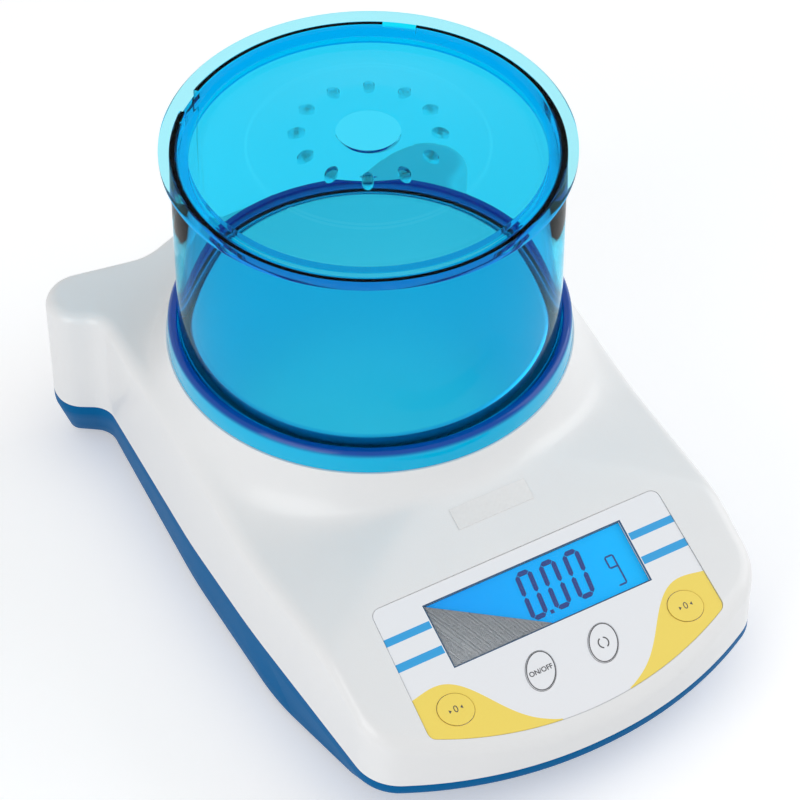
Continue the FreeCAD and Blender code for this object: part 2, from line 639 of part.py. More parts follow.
lower_housing = cut("lower_housing", tub_trimmed, removed)


# Upper housing: a white moulded shell under one crowned sheet, with a raised collar that carries
# the draught ring, a dish for the pan support and a bed for the control panel's label.
def case_solid(inset, bevel):
    corners = inset_corners(parting_corners(), inset)
    side = prism(corners, PARTING - inset, SEAT - inset)
    body = side.common(crown_solid(inset))
    if bevel:
        upper_lines = [line for line in body.Edges if line.BoundBox.ZMin > PARTING + bevel]
        body = body.makeChamfer(bevel, upper_lines)
    return body.fuse(collar_solid(inset, inset).common(side))


case_shell = case_solid(0.0, float(size("edge_bevel"))).cut(case_solid(float(WALL), 0.0))
upper_shell = solid("upper_shell", case_shell)

bed_face = overlay_face(float(size("bed_border")))
bed_face.translate(Vector(0, 0, float(WALL_BACK)))
panel_bed = solid("panel_bed", tilted(bed_face.extrude(Vector(0, 0, float(-WALL_BACK)))))
dish_block = rod("dish_block", (0.0, PAN_Y, DISH_FLOOR - WALL), size("dish_radius") + WALL,
                 SEAT - DISH_FLOOR + WALL)
dish_space = rod("dish_space", (0.0, PAN_Y, DISH_FLOOR), size("dish_radius"),
                 SEAT - DISH_FLOOR + OVER)
post_hole = rod("post_hole", (0.0, PAN_Y, DISH_FLOOR - WALL - OVER), size("post_hole_radius"),
                WALL + 2 * OVER)
post_blanks = []
case_bores = []
for name, x, y in POSTS:
    post_blanks.append(rod(name + "_case_post", (x, y, PARTING), size("screw_post_radius"), SEAT - PARTING))
    case_bores.append(rod(name + "_case_bore", (x, y, PARTING - OVER), SCREW_CLEAR,
                          size("case_screw_length") + SCREW_SEAT - PARTING + 2 * OVER))

recess_face = overlay_face(float(size("fit_gap")))
recess_face.translate(Vector(0, 0, float(OVERLAY_BACK)))
PANEL_CUT_UP = 12.0
PANEL_CUT_DOWN = -8.0
overlay_recess = solid("overlay_recess", tilted(recess_face.extrude(Vector(0, 0, PANEL_CUT_UP))))
LCD_GAP = size("fit_gap")
lcd_opening = solid("lcd_hole", tilted(Part.makeBox(
    float(size("lcd_width") + 2 * LCD_GAP), float(size("lcd_height") + 2 * LCD_GAP), PANEL_CUT_UP,
    Vector(-size("lcd_width") / 2 - LCD_GAP, -size("lcd_height") - LCD_GAP, PANEL_CUT_DOWN))))
key_holes = [solid(key[0] + "_hole", tilted(key_prism(key, float(size("key_gap")), PANEL_CUT_DOWN, OVER)))
             for key in KEYS]
JACK_HALF = size("jack_width") / 2
jack_opening = box("jack_opening", (size("jack_x") - JACK_HALF - LCD_GAP, REAR - WALL - 2 * OVER,
                                    size("jack_height") - size("jack_tall") / 2 - LCD_GAP),
                   (size("jack_width") + 2 * LCD_GAP, WALL + 4 * OVER, size("jack_tall") + 2 * LCD_GAP))
vial_hole = rod("vial_hole", (0.0, VIAL_Y, size("plateau_height") - WALL - OVER),
                size("vial_radius") + LCD_GAP, WALL + 2 * OVER)
case_core = solid("case_core", case_solid(float(WALL) / 2, 0.0))
case_posts = doc.addObject("Part::MultiCommon", "case_posts")
case_posts.Shapes = [fuse("post_blanks", post_blanks), case_core]
upper_solid = fuse("upper_solid", [upper_shell, panel_bed, dish_block, case_posts])
upper_housing = cut("upper_housing", upper_solid,
                    [dish_space, post_hole, overlay_recess, lcd_opening, jack_opening, vial_hole]
                    + key_holes + case_bores)


# Draught ring: a blue clear moulding that sits on the collar, its lip inside the dish.
draught_ring = new_body("draught_ring")
ring_sketch = new_sketch(draught_ring, "ring_profile", "XZ_Plane")
draw_loop(ring_sketch, (
    (size("ring_bore"), SEAT - size("ring_lip")),
    (size("ring_bore") + size("ring_lip_wall"), SEAT - size("ring_lip")),
    (size("ring_bore") + size("ring_lip_wall"), SEAT),
    (size("ring_radius"), SEAT),
    (size("ring_radius"), RING_TOP - size("ring_edge")),
    (size("ring_radius") - size("ring_edge"), RING_TOP),
    (size("ring_step_radius"), RING_TOP),
    (size("ring_step_radius"), STEP),
    (size("ring_bore"), STEP)))
revolve(draught_ring, ring_sketch)
place(draught_ring, 0.0, PAN_Y)

# Draught shield: a clear blue tube that widens slightly downwards, with two notches in its rim.
SHIELD_TOP_BORE = size("shield_top_radius") - size("shield_wall")
draught_shield = new_body("draught_shield")
shield_sketch = new_sketch(draught_shield, "shield_profile", "XZ_Plane")
draw_loop(shield_sketch, (
    (size("shield_radius") - size("shield_wall"), STEP),
    (size("shield_radius"), STEP),
    (size("shield_top_radius"), SHIELD_TOP),
    (SHIELD_TOP_BORE, SHIELD_TOP)))
revolve(draught_shield, shield_sketch)
notch_sketch = new_sketch(draught_shield, "rim_notches", "XY_Plane", SHIELD_TOP)
for side in (-1, 1):
    angle = math.radians(90 + side * size("notch_angle"))
    outward = Vector(math.cos(angle), math.sin(angle))
    across = Vector(-outward.y, outward.x) * float(size("notch_width") / 2)
    corners = [outward * reach + across * way for reach, way in (
        (SHIELD_TOP_BORE - size("notch_depth"), -1), (size("shield_radius") + OVER, -1),
        (size("shield_radius") + OVER, 1), (SHIELD_TOP_BORE - size("notch_depth"), 1))]
    for index, corner in enumerate(corners):
        notch_sketch.addGeometry(Part.LineSegment(corner, corners[(index + 1) % len(corners)]))
pocket(draught_shield, notch_sketch, size("notch_depth"))
place(draught_shield, 0.0, PAN_Y)

# Shield lid: a flange that rests on the tube, a spigot inside it, and a domed middle with a round
# hole and a ring of small oval vents.
LID_LOW = LID_TOP - size("lid_recess")
SPIGOT_RADIUS = SHIELD_TOP_BORE - size("lid_gap")
SPIGOT_BORE = SPIGOT_RADIUS - size("lid_spigot_wall")
SHEET_LID = size("lid_floor")
DOME_EDGE = LID_LOW + size("ramp_rise")
DOME_SHOULDER = DOME_EDGE + size("dome_rise")
DOME_TOP = DOME_SHOULDER + size("crown_rise")
LAND_RADIUS = SPIGOT_BORE - size("lid_land")
shield_lid = new_body("shield_lid")
lid_sketch = new_sketch(shield_lid, "lid_profile", "XZ_Plane")
draw_loop(lid_sketch, (
    (size("lid_radius"), SHIELD_TOP), (size("lid_radius"), LID_TOP),
    (SPIGOT_BORE, LID_TOP), (SPIGOT_BORE, LID_LOW), (LAND_RADIUS, LID_LOW),
    (size("dome_radius"), DOME_EDGE), (size("vent_circle"), DOME_SHOULDER),
    (size("lid_hole_radius"), DOME_TOP),
    (size("lid_hole_radius"), DOME_TOP - SHEET_LID), (size("vent_circle"), DOME_SHOULDER - SHEET_LID),
    (size("dome_radius"), DOME_EDGE - SHEET_LID), (LAND_RADIUS, LID_LOW - SHEET_LID),
    (SPIGOT_BORE, LID_LOW - SHEET_LID), (SPIGOT_BORE, LID_LOW - SHEET_LID - size("lid_spigot_drop")),
    (SPIGOT_RADIUS, LID_LOW - SHEET_LID - size("lid_spigot_drop")), (SPIGOT_RADIUS, SHIELD_TOP)))
revolve(shield_lid, lid_sketch)
vent_sketch = new_sketch(shield_lid, "vent", "XY_Plane", DOME_TOP + OVER)
vent_middle = Vector(size("vent_circle"), 0)
vent_sketch.addGeometry(Part.Ellipse(vent_middle + Vector(size("vent_long"), 0),
                                     vent_middle + Vector(0, size("vent_short")), vent_middle))
vent_pocket = pocket(shield_lid, vent_sketch)
turn_pattern(shield_lid, vent_pocket, vent_sketch, size("vent_count"))
place(shield_lid, 0.0, PAN_Y)

# Weighing pan: a pressed steel dish turned over, which rests on the support's rubber cushions.
weighing_pan = new_body("weighing_pan")
pan_sketch = new_sketch(weighing_pan, "pan_profile", "XZ_Plane")
draw_loop(pan_sketch, (
    (0.0, PAN_SEAT), (size("pan_radius") - size("pan_sheet"), PAN_SEAT),
    (size("pan_radius") - size("pan_sheet"), PAN_TOP - size("pan_skirt")),
    (size("pan_radius"), PAN_TOP - size("pan_skirt")),
    (size("pan_radius"), PAN_TOP - size("pan_edge_radius") / 2),
    (size("pan_radius") - size("pan_edge_radius") / 2, PAN_TOP), (0.0, PAN_TOP)))
revolve(weighing_pan, pan_sketch)
place(weighing_pan, 0.0, PAN_Y)

# Pan support: a cast hub with four arms, each with a rubber cushion under the pan.
ARM_REACH = size("cushion_circle") + size("cushion_radius") + size("arm_end")
support_parts = [rod("support_hub", (0.0, PAN_Y, ARM_BOTTOM), size("hub_radius"), size("arm_thickness"))]
for index in range(2):
    arm = box("support_arm_%d" % index, (0.0, 0.0, 0.0),
              (2 * ARM_REACH, size("arm_width"), size("arm_thickness")))
    turn = Rotation(Vector(0, 0, 1), 45 + 90 * index)
    corner = turn.multVec(Vector(-ARM_REACH, -size("arm_width") / 2, 0))
    arm.Placement = Placement(Vector(corner.x, corner.y + float(PAN_Y), float(ARM_BOTTOM)), turn)
    support_parts.append(arm)
pan_support = cut("pan_support", fuse("support_spider", support_parts),
                  [rod("support_bore", (0.0, PAN_Y, ARM_BOTTOM - OVER),
                       size("cell_screw_radius") + size("screw_gap"),
                       size("arm_thickness") + 2 * OVER)])
CUSHION_ANGLES = [math.radians(45 + 90 * index) for index in range(4)]
pan_cushions = group("pan_cushions", [
    rod("cushion_%d" % index, (size("cushion_circle") * math.cos(angle),
                               PAN_Y + size("cushion_circle") * math.sin(angle), ARM_TOP),
        size("cushion_radius"), size("cushion_height"))
    for index, angle in enumerate(CUSHION_ANGLES)])
support_screw = fuse("support_screw", [
    rod("support_screw_head", (0.0, PAN_Y, ARM_TOP), size("screw_head_radius"), size("screw_head_height")),
    rod("support_screw_shank", (0.0, PAN_Y, BRACKET_TOP + size("support_screw_low")),
        size("cell_screw_radius"),
        ARM_TOP - BRACKET_TOP - size("support_screw_low"))])

# Platform bracket: carries the pan's load from the middle to the free end of the load cell.
BRACKET_HALF = size("bracket_half_width")
CELL_END = size("cell_end")
bracket_plate = box("bracket_plate", (-BRACKET_HALF, CELL_FRONT, BRACKET_BOTTOM),
                    (2 * BRACKET_HALF, PAN_Y + BRACKET_HALF - CELL_FRONT, size("bracket_thickness")))
bracket_post = rod("bracket_post", (0.0, PAN_Y, BRACKET_BOTTOM), size("post_radius"),
                   ARM_BOTTOM - BRACKET_BOTTOM)
bracket_rib = box("bracket_rib",
                  (-size("bracket_thickness") / 2, CELL_FRONT + CELL_END, BRACKET_TOP - OVER),
                  (size("bracket_thickness"), PAN_Y - CELL_FRONT - CELL_END, size("rib_depth")))
CELL_SCREWS_FRONT = [(0.0, CELL_FRONT + CELL_END / 2 + side * size("cell_screw_spacing") / 2)
                     for side in (-1, 1)]
CELL_SCREWS_REAR = [(0.0, CELL_REAR - CELL_END / 2 + side * size("cell_screw_spacing") / 2)
                    for side in (-1, 1)]
SCREW_BORE = size("cell_screw_radius") + size("screw_gap")
bracket_blank = fuse("bracket_blank", [bracket_plate, bracket_post, bracket_rib])
platform_bracket = cut("platform_bracket", bracket_blank, [
    rod("bracket_bore_%d" % index, (x, y, BRACKET_BOTTOM - OVER), SCREW_BORE,
        size("bracket_thickness") + 2 * OVER)
    for index, (x, y) in enumerate(CELL_SCREWS_FRONT)] + [
    rod("bracket_post_bore", (0.0, PAN_Y, BRACKET_TOP + size("post_bore_low")), SCREW_BORE,
        ARM_BOTTOM - BRACKET_TOP)])
CELL_HALF = size("cell_width") / 2


def spacer(name, low_y, low_z, screws):
    blank = box(name + "_blank", (-CELL_HALF, low_y, low_z), (2 * CELL_HALF, CELL_END, size("cell_gap")))
    return cut(name, blank, [
        rod("%s_bore_%d" % (name, index), (x, y, low_z - OVER), SCREW_BORE, size("cell_gap") + 2 * OVER)
        for index, (x, y) in enumerate(screws)])


platform_spacer = spacer("platform_spacer", CELL_FRONT, CELL_TOP, CELL_SCREWS_FRONT)
cell_spacer = spacer("cell_spacer", CELL_REAR - CELL_END, PLATE_TOP, CELL_SCREWS_REAR)

# Load cell: an aluminium bar with two bores joined by a slot, which leave four thin bending webs.
load_cell = new_body("load_cell")
cell_sketch = new_sketch(load_cell, "cell_outline", "XY_Plane", CELL_BOTTOM)
draw_loop(cell_sketch, ((-CELL_HALF, CELL_FRONT), (CELL_HALF, CELL_FRONT), (CELL_HALF, CELL_REAR),
                        (-CELL_HALF, CELL_REAR)))
pad(load_cell, cell_sketch, size("cell_height"))
CELL_MIDDLE = CELL_BOTTOM + size("cell_height") / 2
for index, side in enumerate((-1, 1)):
    bore_sketch = new_sketch(load_cell, "web_bore_%d" % index, "YZ_Plane", -CELL_HALF - OVER)
    draw_circle(bore_sketch, (PAN_Y + side * size("cell_bore_spacing") / 2, CELL_MIDDLE), size("cell_bore"))
    pocket(load_cell, bore_sketch, 2 * (CELL_HALF + OVER), reverse=True)
slot_sketch = new_sketch(load_cell, "web_slot", "YZ_Plane", -CELL_HALF - OVER)
draw_loop(slot_sketch, rectangle(PAN_Y, CELL_MIDDLE, size("cell_bore_spacing"), size("cell_slot")))
pocket(load_cell, slot_sketch, 2 * (CELL_HALF + OVER), reverse=True)
SCREW_DEPTH = size("cell_height") / 2 - OVER
for name, screws, low in (("front", CELL_SCREWS_FRONT, CELL_TOP), ("rear", CELL_SCREWS_REAR, CELL_BOTTOM)):
    thread_sketch = new_sketch(load_cell, "thread_" + name, "XY_Plane", low)
    for centre in screws:
        draw_circle(thread_sketch, centre, SCREW_BORE)
    pocket(load_cell, thread_sketch, SCREW_DEPTH, reverse=name == "rear")


def cap_screw(name, centre, head_low, shank_low, shank_high):
    x, y = centre
    return fuse(name, [
        rod(name + "_head", (x, y, head_low), size("screw_head_radius"), size("screw_head_height")),
        rod(name + "_shank", (x, y, shank_low), size("cell_screw_radius"), shank_high - shank_low)])


bracket_screws = group("bracket_screws", [
    cap_screw("bracket_screw_%d" % index, centre, BRACKET_TOP, CELL_TOP - SCREW_DEPTH + OVER,
              BRACKET_TOP + OVER)
    for index, centre in enumerate(CELL_SCREWS_FRONT)])
cell_screws = group("cell_screws", [
    cap_screw("cell_screw_%d" % index, centre, PLATE_BOTTOM - size("screw_head_height"),
              PLATE_BOTTOM - OVER,
              CELL_BOTTOM + SCREW_DEPTH - OVER)
    for index, centre in enumerate(CELL_SCREWS_REAR)])

# Mounting plate: the stiff base of the load cell, with two set screws that stop an overload.
plate_blank = box("plate_blank", (-PLATE_HALF, CELL_FRONT, PLATE_BOTTOM),
                  (2 * PLATE_HALF, PLATE_REAR - CELL_FRONT, size("mount_plate_thickness")))
STOPS = [(side * CELL_HALF / 2, CELL_FRONT + CELL_END / 2) for side in (-1, 1)]
plate_bores = [rod("plate_cell_bore_%d" % index, (x, y, PLATE_BOTTOM - OVER), SCREW_BORE,
                   size("mount_plate_thickness") + 2 * OVER)
               for index, (x, y) in enumerate(CELL_SCREWS_REAR)]
plate_bores += [rod("plate_stop_bore_%d" % index, (x, y, PLATE_BOTTOM - OVER), size("stop_radius"),
                    size("mount_plate_thickness") + 2 * OVER) for index, (x, y) in enumerate(STOPS)]
plate_bores += [rod("plate_post_bore_%d" % index, (x, y, PLATE_BOTTOM - OVER), SCREW_BORE,
                    size("mount_plate_thickness") + 2 * OVER) for index, (x, y) in enumerate(PLATE_POSTS)]
mounting_plate = cut("mounting_plate", plate_blank, plate_bores)
overload_stops = group("overload_stops", [
    rod("overload_stop_%d" % index, (x, y, PLATE_BOTTOM), size("stop_radius"),
        CELL_BOTTOM - size("stop_gap") - PLATE_BOTTOM) for index, (x, y) in enumerate(STOPS)])
plate_screws = group("plate_screws", [
    cap_screw("plate_screw_%d" % index, centre, PLATE_TOP, FLOOR + OVER, PLATE_TOP + OVER)
    for index, centre in enumerate(PLATE_POSTS)])

# Main board over the battery bay, with its larger components.
main_board = box("main_board", (-BOARD_HALF_X, BATTERY_Y - BOARD_HALF_Y, BOARD_LOW),
                 (2 * BOARD_HALF_X, 2 * BOARD_HALF_Y, size("board_thickness")))
# Each component: its middle on the board, its width, its depth and its height.
COMPONENTS = ((-12, -8, 12, 12, 1.6), (14, -6, 9, 5, 1.8), (-32, 6, 10, 6, 6), (30, 8, 6, 14, 8),
              (8, 12, 14, 5, 5.5), (-30, -14, 8, 8, 3), (32, -12, 10, 8, 4), (-2, 8, 5, 3, 1.5))
board_parts = group("board_parts", [
    box("board_part_%d" % index, (x - width / 2, BATTERY_Y + y - depth / 2, BOARD_TOP),
        (width, depth, high))
    for index, (x, y, width, depth, high) in enumerate(COMPONENTS)])

# Control panel: printed label, display window, display stack, key board and four sprung keys.
LCD_HALF = size("lcd_width") / 2
overlay_blank = overlay_face(0.0)
overlay_blank.translate(Vector(0, 0, float(OVERLAY_BACK)))
overlay_sheet = overlay_blank.extrude(Vector(0, 0, float(size("overlay_thickness"))))
overlay_sheet = overlay_sheet.cut(Part.makeBox(
    float(size("lcd_width") + LCD_GAP), float(size("lcd_height") + LCD_GAP), PANEL_CUT_UP,
    Vector(-LCD_HALF - LCD_GAP / 2, -size("lcd_height") - LCD_GAP / 2, PANEL_CUT_DOWN)))
for key in KEYS:
    overlay_sheet = overlay_sheet.cut(key_prism(key, float(size("key_gap")), PANEL_CUT_DOWN, OVER))
control_label = solid("control_label", tilted(overlay_sheet))


def panel_block(name, half_width, top, low, back, face):
    """A block on the panel: top and low count down the slope from the display's upper edge."""
    block = box(name, (0, 0, 0), (2 * half_width, low - top, face - back))
    corner = Vector(-half_width, -low, back)
    block.Placement = panel_placement().multiply(Placement(corner, Rotation()))
    return block


display_window = panel_block("display_window", LCD_HALF, 0.0, size("lcd_height"), WINDOW_BACK, OVERLAY_FACE)
display_glass = panel_block("display_glass", LCD_HALF, 0.0, size("lcd_height"), LCD_BACK, WINDOW_BACK)
display_light = panel_block("display_light", LCD_HALF, 0.0, size("lcd_height"), BOARD_FACE, LCD_BACK)
FRAME_WALL = size("frame_wall")
frame_outer = panel_block("frame_outer", LCD_HALF + FRAME_WALL, -FRAME_WALL,
                          size("lcd_height") + FRAME_WALL,
                          BOARD_FACE, WALL_BACK)
frame_inner = panel_block("frame_inner", LCD_HALF + LCD_GAP, -LCD_GAP, size("lcd_height") + LCD_GAP,
                          BOARD_FACE - OVER, WALL_BACK + OVER)
display_frame = cut("display_frame", frame_outer, [frame_inner])
display_board = panel_block("display_board", size("display_board_half"), -FRAME_WALL - OVER,
                            size("display_board_low"),
                            BOARD_BACK, BOARD_FACE)
SWITCH_HALF = size("switch_size") / 2


def switch_block(index, key):
    name, x, down = key[:3]
    block = box("switch_%d" % index, (0, 0, 0),
                (2 * SWITCH_HALF, 2 * SWITCH_HALF, -size("switch_top") - BOARD_FACE))
    corner = Vector(x - SWITCH_HALF, -down - SWITCH_HALF, BOARD_FACE)
    block.Placement = panel_placement().multiply(Placement(corner, Rotation()))
    return block


key_switches = group("key_switches", [switch_block(index, key) for index, key in enumerate(KEYS)])
for key in KEYS:
    stem = key_prism(key, 0.0, -size("key_stem_end"), OVERLAY_FACE + size("key_proud"))
    rim = key_prism(key, float(size("key_rim")), WALL_BACK - size("key_rim_thickness"), WALL_BACK)
    solid(key[0], tilted(stem.fuse(rim).removeSplitter()))

# Battery bay: six round cells in three rows, sprung contacts at both ends, and a sliding-out door.
battery_door = box("battery_door", (-BATTERY_HALF_X - DOOR_LEDGE + size("door_gap"),
                                    BAY_LOW_Y - DOOR_LEDGE + size("door_gap"), BOTTOM),
                   (2 * (BATTERY_HALF_X + DOOR_LEDGE - size("door_gap")),
                    2 * (BATTERY_HALF_Y + DOOR_LEDGE - size("door_gap")), DOOR_DEPTH))
CELL_AXIS = BOTTOM + DOOR_DEPTH + size("fit_gap") + size("battery_radius")


def battery(index):
    side = -1 if index % 2 else 1
    y = BATTERY_Y + (index // 2 - 1) * size("battery_row")
    can = rod("battery_can_%d" % index, (0, 0, 0), size("battery_radius"),
              size("battery_length") - size("battery_cap"))
    nub = rod("battery_nub_%d" % index, (0, 0, 0), size("battery_nub"), size("battery_length"))
    cell = fuse("battery_%d" % index, [can, nub])
    cell.Placement = Placement(Vector(side * size("battery_shift"), y, CELL_AXIS),
                               Rotation(Vector(0, 1, 0), 90 * side))
    return cell


batteries = group("batteries", [battery(index) for index in range(6)])
CONTACT = size("contact_thickness")
contacts = []
for index in range(6):
    side = -1 if index % 2 else 1
    y = BATTERY_Y + (index // 2 - 1) * size("battery_row")
    low_x = BATTERY_HALF_X - CONTACT if side > 0 else -BATTERY_HALF_X
    contacts.append(box("contact_%d" % index,
                        (low_x, y - size("spring_radius"), CELL_AXIS - size("spring_radius")),
                        (CONTACT, 2 * size("spring_radius"), 2 * size("spring_radius"))))
battery_contacts = group("battery_contacts", contacts)

# Power socket in the rear wall, and the spirit level in the top behind the pan.
jack_body = box("jack_body", (size("jack_x") - JACK_HALF, REAR - size("jack_depth"),
                              size("jack_height") - size("jack_tall") / 2),
                (size("jack_width"), size("jack_depth"), size("jack_tall")))
LYING = Rotation(Vector(1, 0, 0), 90)
jack_bore = rod("jack_bore", (0, 0, 0), size("jack_bore"), size("jack_depth") - size("jack_floor") + OVER)
jack_bore.Placement = Placement(Vector(size("jack_x"), REAR + OVER, size("jack_height")), LYING)
jack_pin = rod("jack_pin", (0, 0, 0), size("jack_pin"), size("jack_depth") - 2 * size("jack_pin_sink"))
jack_pin.Placement = Placement(Vector(size("jack_x"), REAR - size("jack_pin_sink"), size("jack_height")),
                               LYING)
power_socket = fuse("power_socket", [cut("jack_shell", jack_body, [jack_bore]), jack_pin])
VIAL_LOW = size("plateau_height") - size("vial_height") + size("vial_proud")
VIAL_FLANGE_TOP = size("plateau_height") - WALL - size("vial_flange_gap")
level_vial = fuse("level_vial", [
    rod("vial_barrel", (0.0, VIAL_Y, VIAL_LOW), size("vial_radius"), size("vial_height")),
    rod("vial_flange", (0.0, VIAL_Y, VIAL_FLANGE_TOP - size("vial_flange_thickness")),
        size("vial_radius") + size("vial_flange"), size("vial_flange_thickness"))])

# Levelling feet: a threaded insert in the base, a fluted wheel with its stud, and a rubber pad.
THREAD = size("stud_radius") + size("thread_gap")
inserts = []
for name, x, y in FEET:
    sleeve = rod(name + "_sleeve", (x, y, POCKET_TOP), size("insert_radius"), size("insert_height"))
    inserts.append(cut(name + "_insert", sleeve, [
        rod(name + "_thread", (x, y, POCKET_TOP - OVER), THREAD, size("insert_height") + 2 * OVER)]))
foot_inserts = group("foot_inserts", inserts)
WHEEL_LOW = size("pad_height")
for name, x, y in FEET:
    foot = new_body("foot_wheel_" + name)
    wheel_sketch = new_sketch(foot, name + "_wheel", "XY_Plane", WHEEL_LOW)
    draw_circle(wheel_sketch, (0.0, 0.0), size("wheel_radius"))
    pad(foot, wheel_sketch, size("wheel_height"))
    flute_sketch = new_sketch(foot, name + "_flute", "XY_Plane", WHEEL_LOW - OVER)
    draw_circle(flute_sketch, (size("wheel_radius"), 0.0), size("flute_radius"))
    flute = pocket(foot, flute_sketch, size("wheel_height") + 2 * OVER, reverse=True)
    turn_pattern(foot, flute, flute_sketch, size("wheel_flutes"))
    stud_sketch = new_sketch(foot, name + "_stud", "XY_Plane", WHEEL_LOW + size("wheel_height") - OVER)
    draw_circle(stud_sketch, (0.0, 0.0), size("stud_radius"))
    pad(foot, stud_sketch, size("stud_length") + OVER)
    pin_sketch = new_sketch(foot, name + "_pin", "XY_Plane", WHEEL_LOW - size("pin_length"))
    draw_circle(pin_sketch, (0.0, 0.0), size("pin_radius"))
    pad(foot, pin_sketch, size("pin_length") + OVER)
    place(foot, x, y)
    rubber = new_body("foot_pad_" + name)
    pad_sketch = new_sketch(rubber, name + "_pad", "XY_Plane")
    draw_circle(pad_sketch, (0.0, 0.0), size("pad_radius"))
    pad(rubber, pad_sketch, size("pad_height"))
    hole_sketch = new_sketch(rubber, name + "_pad_hole", "XY_Plane", size("pad_height"))
    draw_circle(hole_sketch, (0.0, 0.0), size("pin_radius") + size("thread_gap"))
    pocket(rubber, hole_sketch, size("pin_length") + size("thread_gap"))
    place(rubber, x, y)

# Case screws: four from below, through the base's posts into the upper housing's posts.
case_screws = group("case_screws", [
    fuse(name + "_case_screw", [
        rod(name + "_screw_head", (x, y, SCREW_SEAT - size("case_head_height")), size("case_screw_head"),
            size("case_head_height")),
        rod(name + "_screw_shank", (x, y, SCREW_SEAT - OVER), size("case_screw_radius"),
            size("case_screw_length") + OVER)])
    for name, x, y in POSTS])

NODES = ["lower_housing", "upper_housing", "draught_ring", "draught_shield", "shield_lid", "weighing_pan",
         "pan_support", "pan_cushions", "support_screw", "platform_bracket", "platform_spacer",
         "bracket_screws",
         "load_cell", "cell_spacer", "cell_screws", "mounting_plate", "overload_stops", "plate_screws",
         "main_board", "board_parts", "control_label", "display_window", "display_glass", "display_light",
         "display_frame", "display_board", "key_switches", "battery_door", "batteries", "battery_contacts",
         "power_socket", "level_vial", "foot_inserts", "case_screws"]
NODES += [key[0] for key in KEYS]
NODES += ["foot_wheel_" + foot[0] for foot in FEET] + ["foot_pad_" + foot[0] for foot in FEET]

doc.recompute()
for thing in doc.Objects:
    if "Invalid" in thing.State or "Error" in thing.State:
        raise RuntimeError("%s could not be worked out" % thing.Label)
os.makedirs("parts", exist_ok=True)
for node in NODES:
    shape = doc.getObjectsByLabel(node)[0].Shape
    if shape.isNull() or not shape.isValid() or not shape.Solids:
        raise RuntimeError("%s is not a sound solid" % node)
    shape.exportStep("parts/%s.step" % node)
    print(node, len(shape.Solids), round(shape.Volume))
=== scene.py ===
import math

import bmesh
import bpy
import numpy as np
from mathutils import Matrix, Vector


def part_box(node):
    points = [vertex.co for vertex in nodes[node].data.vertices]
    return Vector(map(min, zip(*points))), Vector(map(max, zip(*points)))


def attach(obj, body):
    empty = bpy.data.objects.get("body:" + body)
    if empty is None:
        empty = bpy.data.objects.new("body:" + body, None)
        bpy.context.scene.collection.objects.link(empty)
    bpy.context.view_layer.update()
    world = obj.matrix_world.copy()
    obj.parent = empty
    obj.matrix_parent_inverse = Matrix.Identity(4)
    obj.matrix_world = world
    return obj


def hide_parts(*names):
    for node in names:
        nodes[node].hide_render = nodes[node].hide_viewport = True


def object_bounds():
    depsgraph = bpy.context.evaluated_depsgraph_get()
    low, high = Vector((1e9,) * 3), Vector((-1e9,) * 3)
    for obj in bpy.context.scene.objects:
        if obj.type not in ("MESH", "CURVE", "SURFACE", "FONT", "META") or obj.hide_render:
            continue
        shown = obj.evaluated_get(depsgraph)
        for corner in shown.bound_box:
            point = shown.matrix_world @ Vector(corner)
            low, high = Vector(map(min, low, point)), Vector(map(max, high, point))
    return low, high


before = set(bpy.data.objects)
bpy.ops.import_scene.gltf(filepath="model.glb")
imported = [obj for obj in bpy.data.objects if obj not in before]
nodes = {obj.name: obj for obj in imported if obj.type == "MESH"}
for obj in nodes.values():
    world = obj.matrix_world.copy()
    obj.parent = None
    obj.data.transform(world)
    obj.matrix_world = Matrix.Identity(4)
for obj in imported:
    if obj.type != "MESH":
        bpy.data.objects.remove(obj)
cad_low, cad_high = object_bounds()
MM = 0.001

# Upper housing. One white moulding in glossy plastic: upright walls, a soft edge all round, a roof
# that falls from the collar under the draught ring, and a bed that is sunk for the control label.
# It drops over the blue base and is held by screws from below.
ring_low, ring_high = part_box("draught_ring")
PAN_Y = (ring_low.y + ring_high.y) / 2 / MM
BODY_HALF_DEPTH = cad_high.y / MM
PARTING = 24.0
COLLAR_TOP = 84.2
COLLAR_RADIUS = 69.8
DISH_RADIUS = 63.6
DISH_FLOOR = 78.0
POST_HOLE = 12.0
PANEL_Y = -72.6
PANEL_Z = 60.6
PANEL_SLOPE = math.radians(25.16)
EDGE = 4.6
COLUMNS = 640
HUB = np.array([0, PAN_Y + 50.0])
OUTLINE = np.array([
    (33.8, -BODY_HALF_DEPTH, 144), (74.7, -103.7, 17), (77.3, -25, 500), (76.7, 20, 300),
    (71.9, 93.5, 9), (85, 101.6, 11), (85, BODY_HALF_DEPTH, 14), (43, BODY_HALF_DEPTH - 7.6, 20),
    (24, BODY_HALF_DEPTH, 25)])
ROOF_LEVEL, ROOF_RISE, RISE_SPAN = 59.4, 8.5, (-55, 12)
ROOF_FALL, ROOF_HALF, RIDGE_WIDTH, FALL_SPAN = 0.3, 77.3, 14, (0, 60)
ROOF_BLEND, COLLAR_BLEND = 2.5, 3.0
COLLAR_DROP, COLLAR_FADE, COLLAR_LEAN = 15, 4, 0.5
WALL = 1.8
SIGHT_HALF, SIGHT_TALL, SIGHT_GAP = 37.5, 22.0, 0.2
BED_DEPTH, BED_GAP, BED_OVER = 0.8, 0.25, 9
WINDOW_CUT, KEY_CUT, CUT_OVER = -12, -9, 4
VIAL_HOLE, VIAL_CUT = 7.2, (60, 72)
SIDE_SHARES, EDGE_STEPS = (0, 0.35, 0.7, 1), 8
ROOF_STEPS, ROOF_CROWDING = 27, 1.8


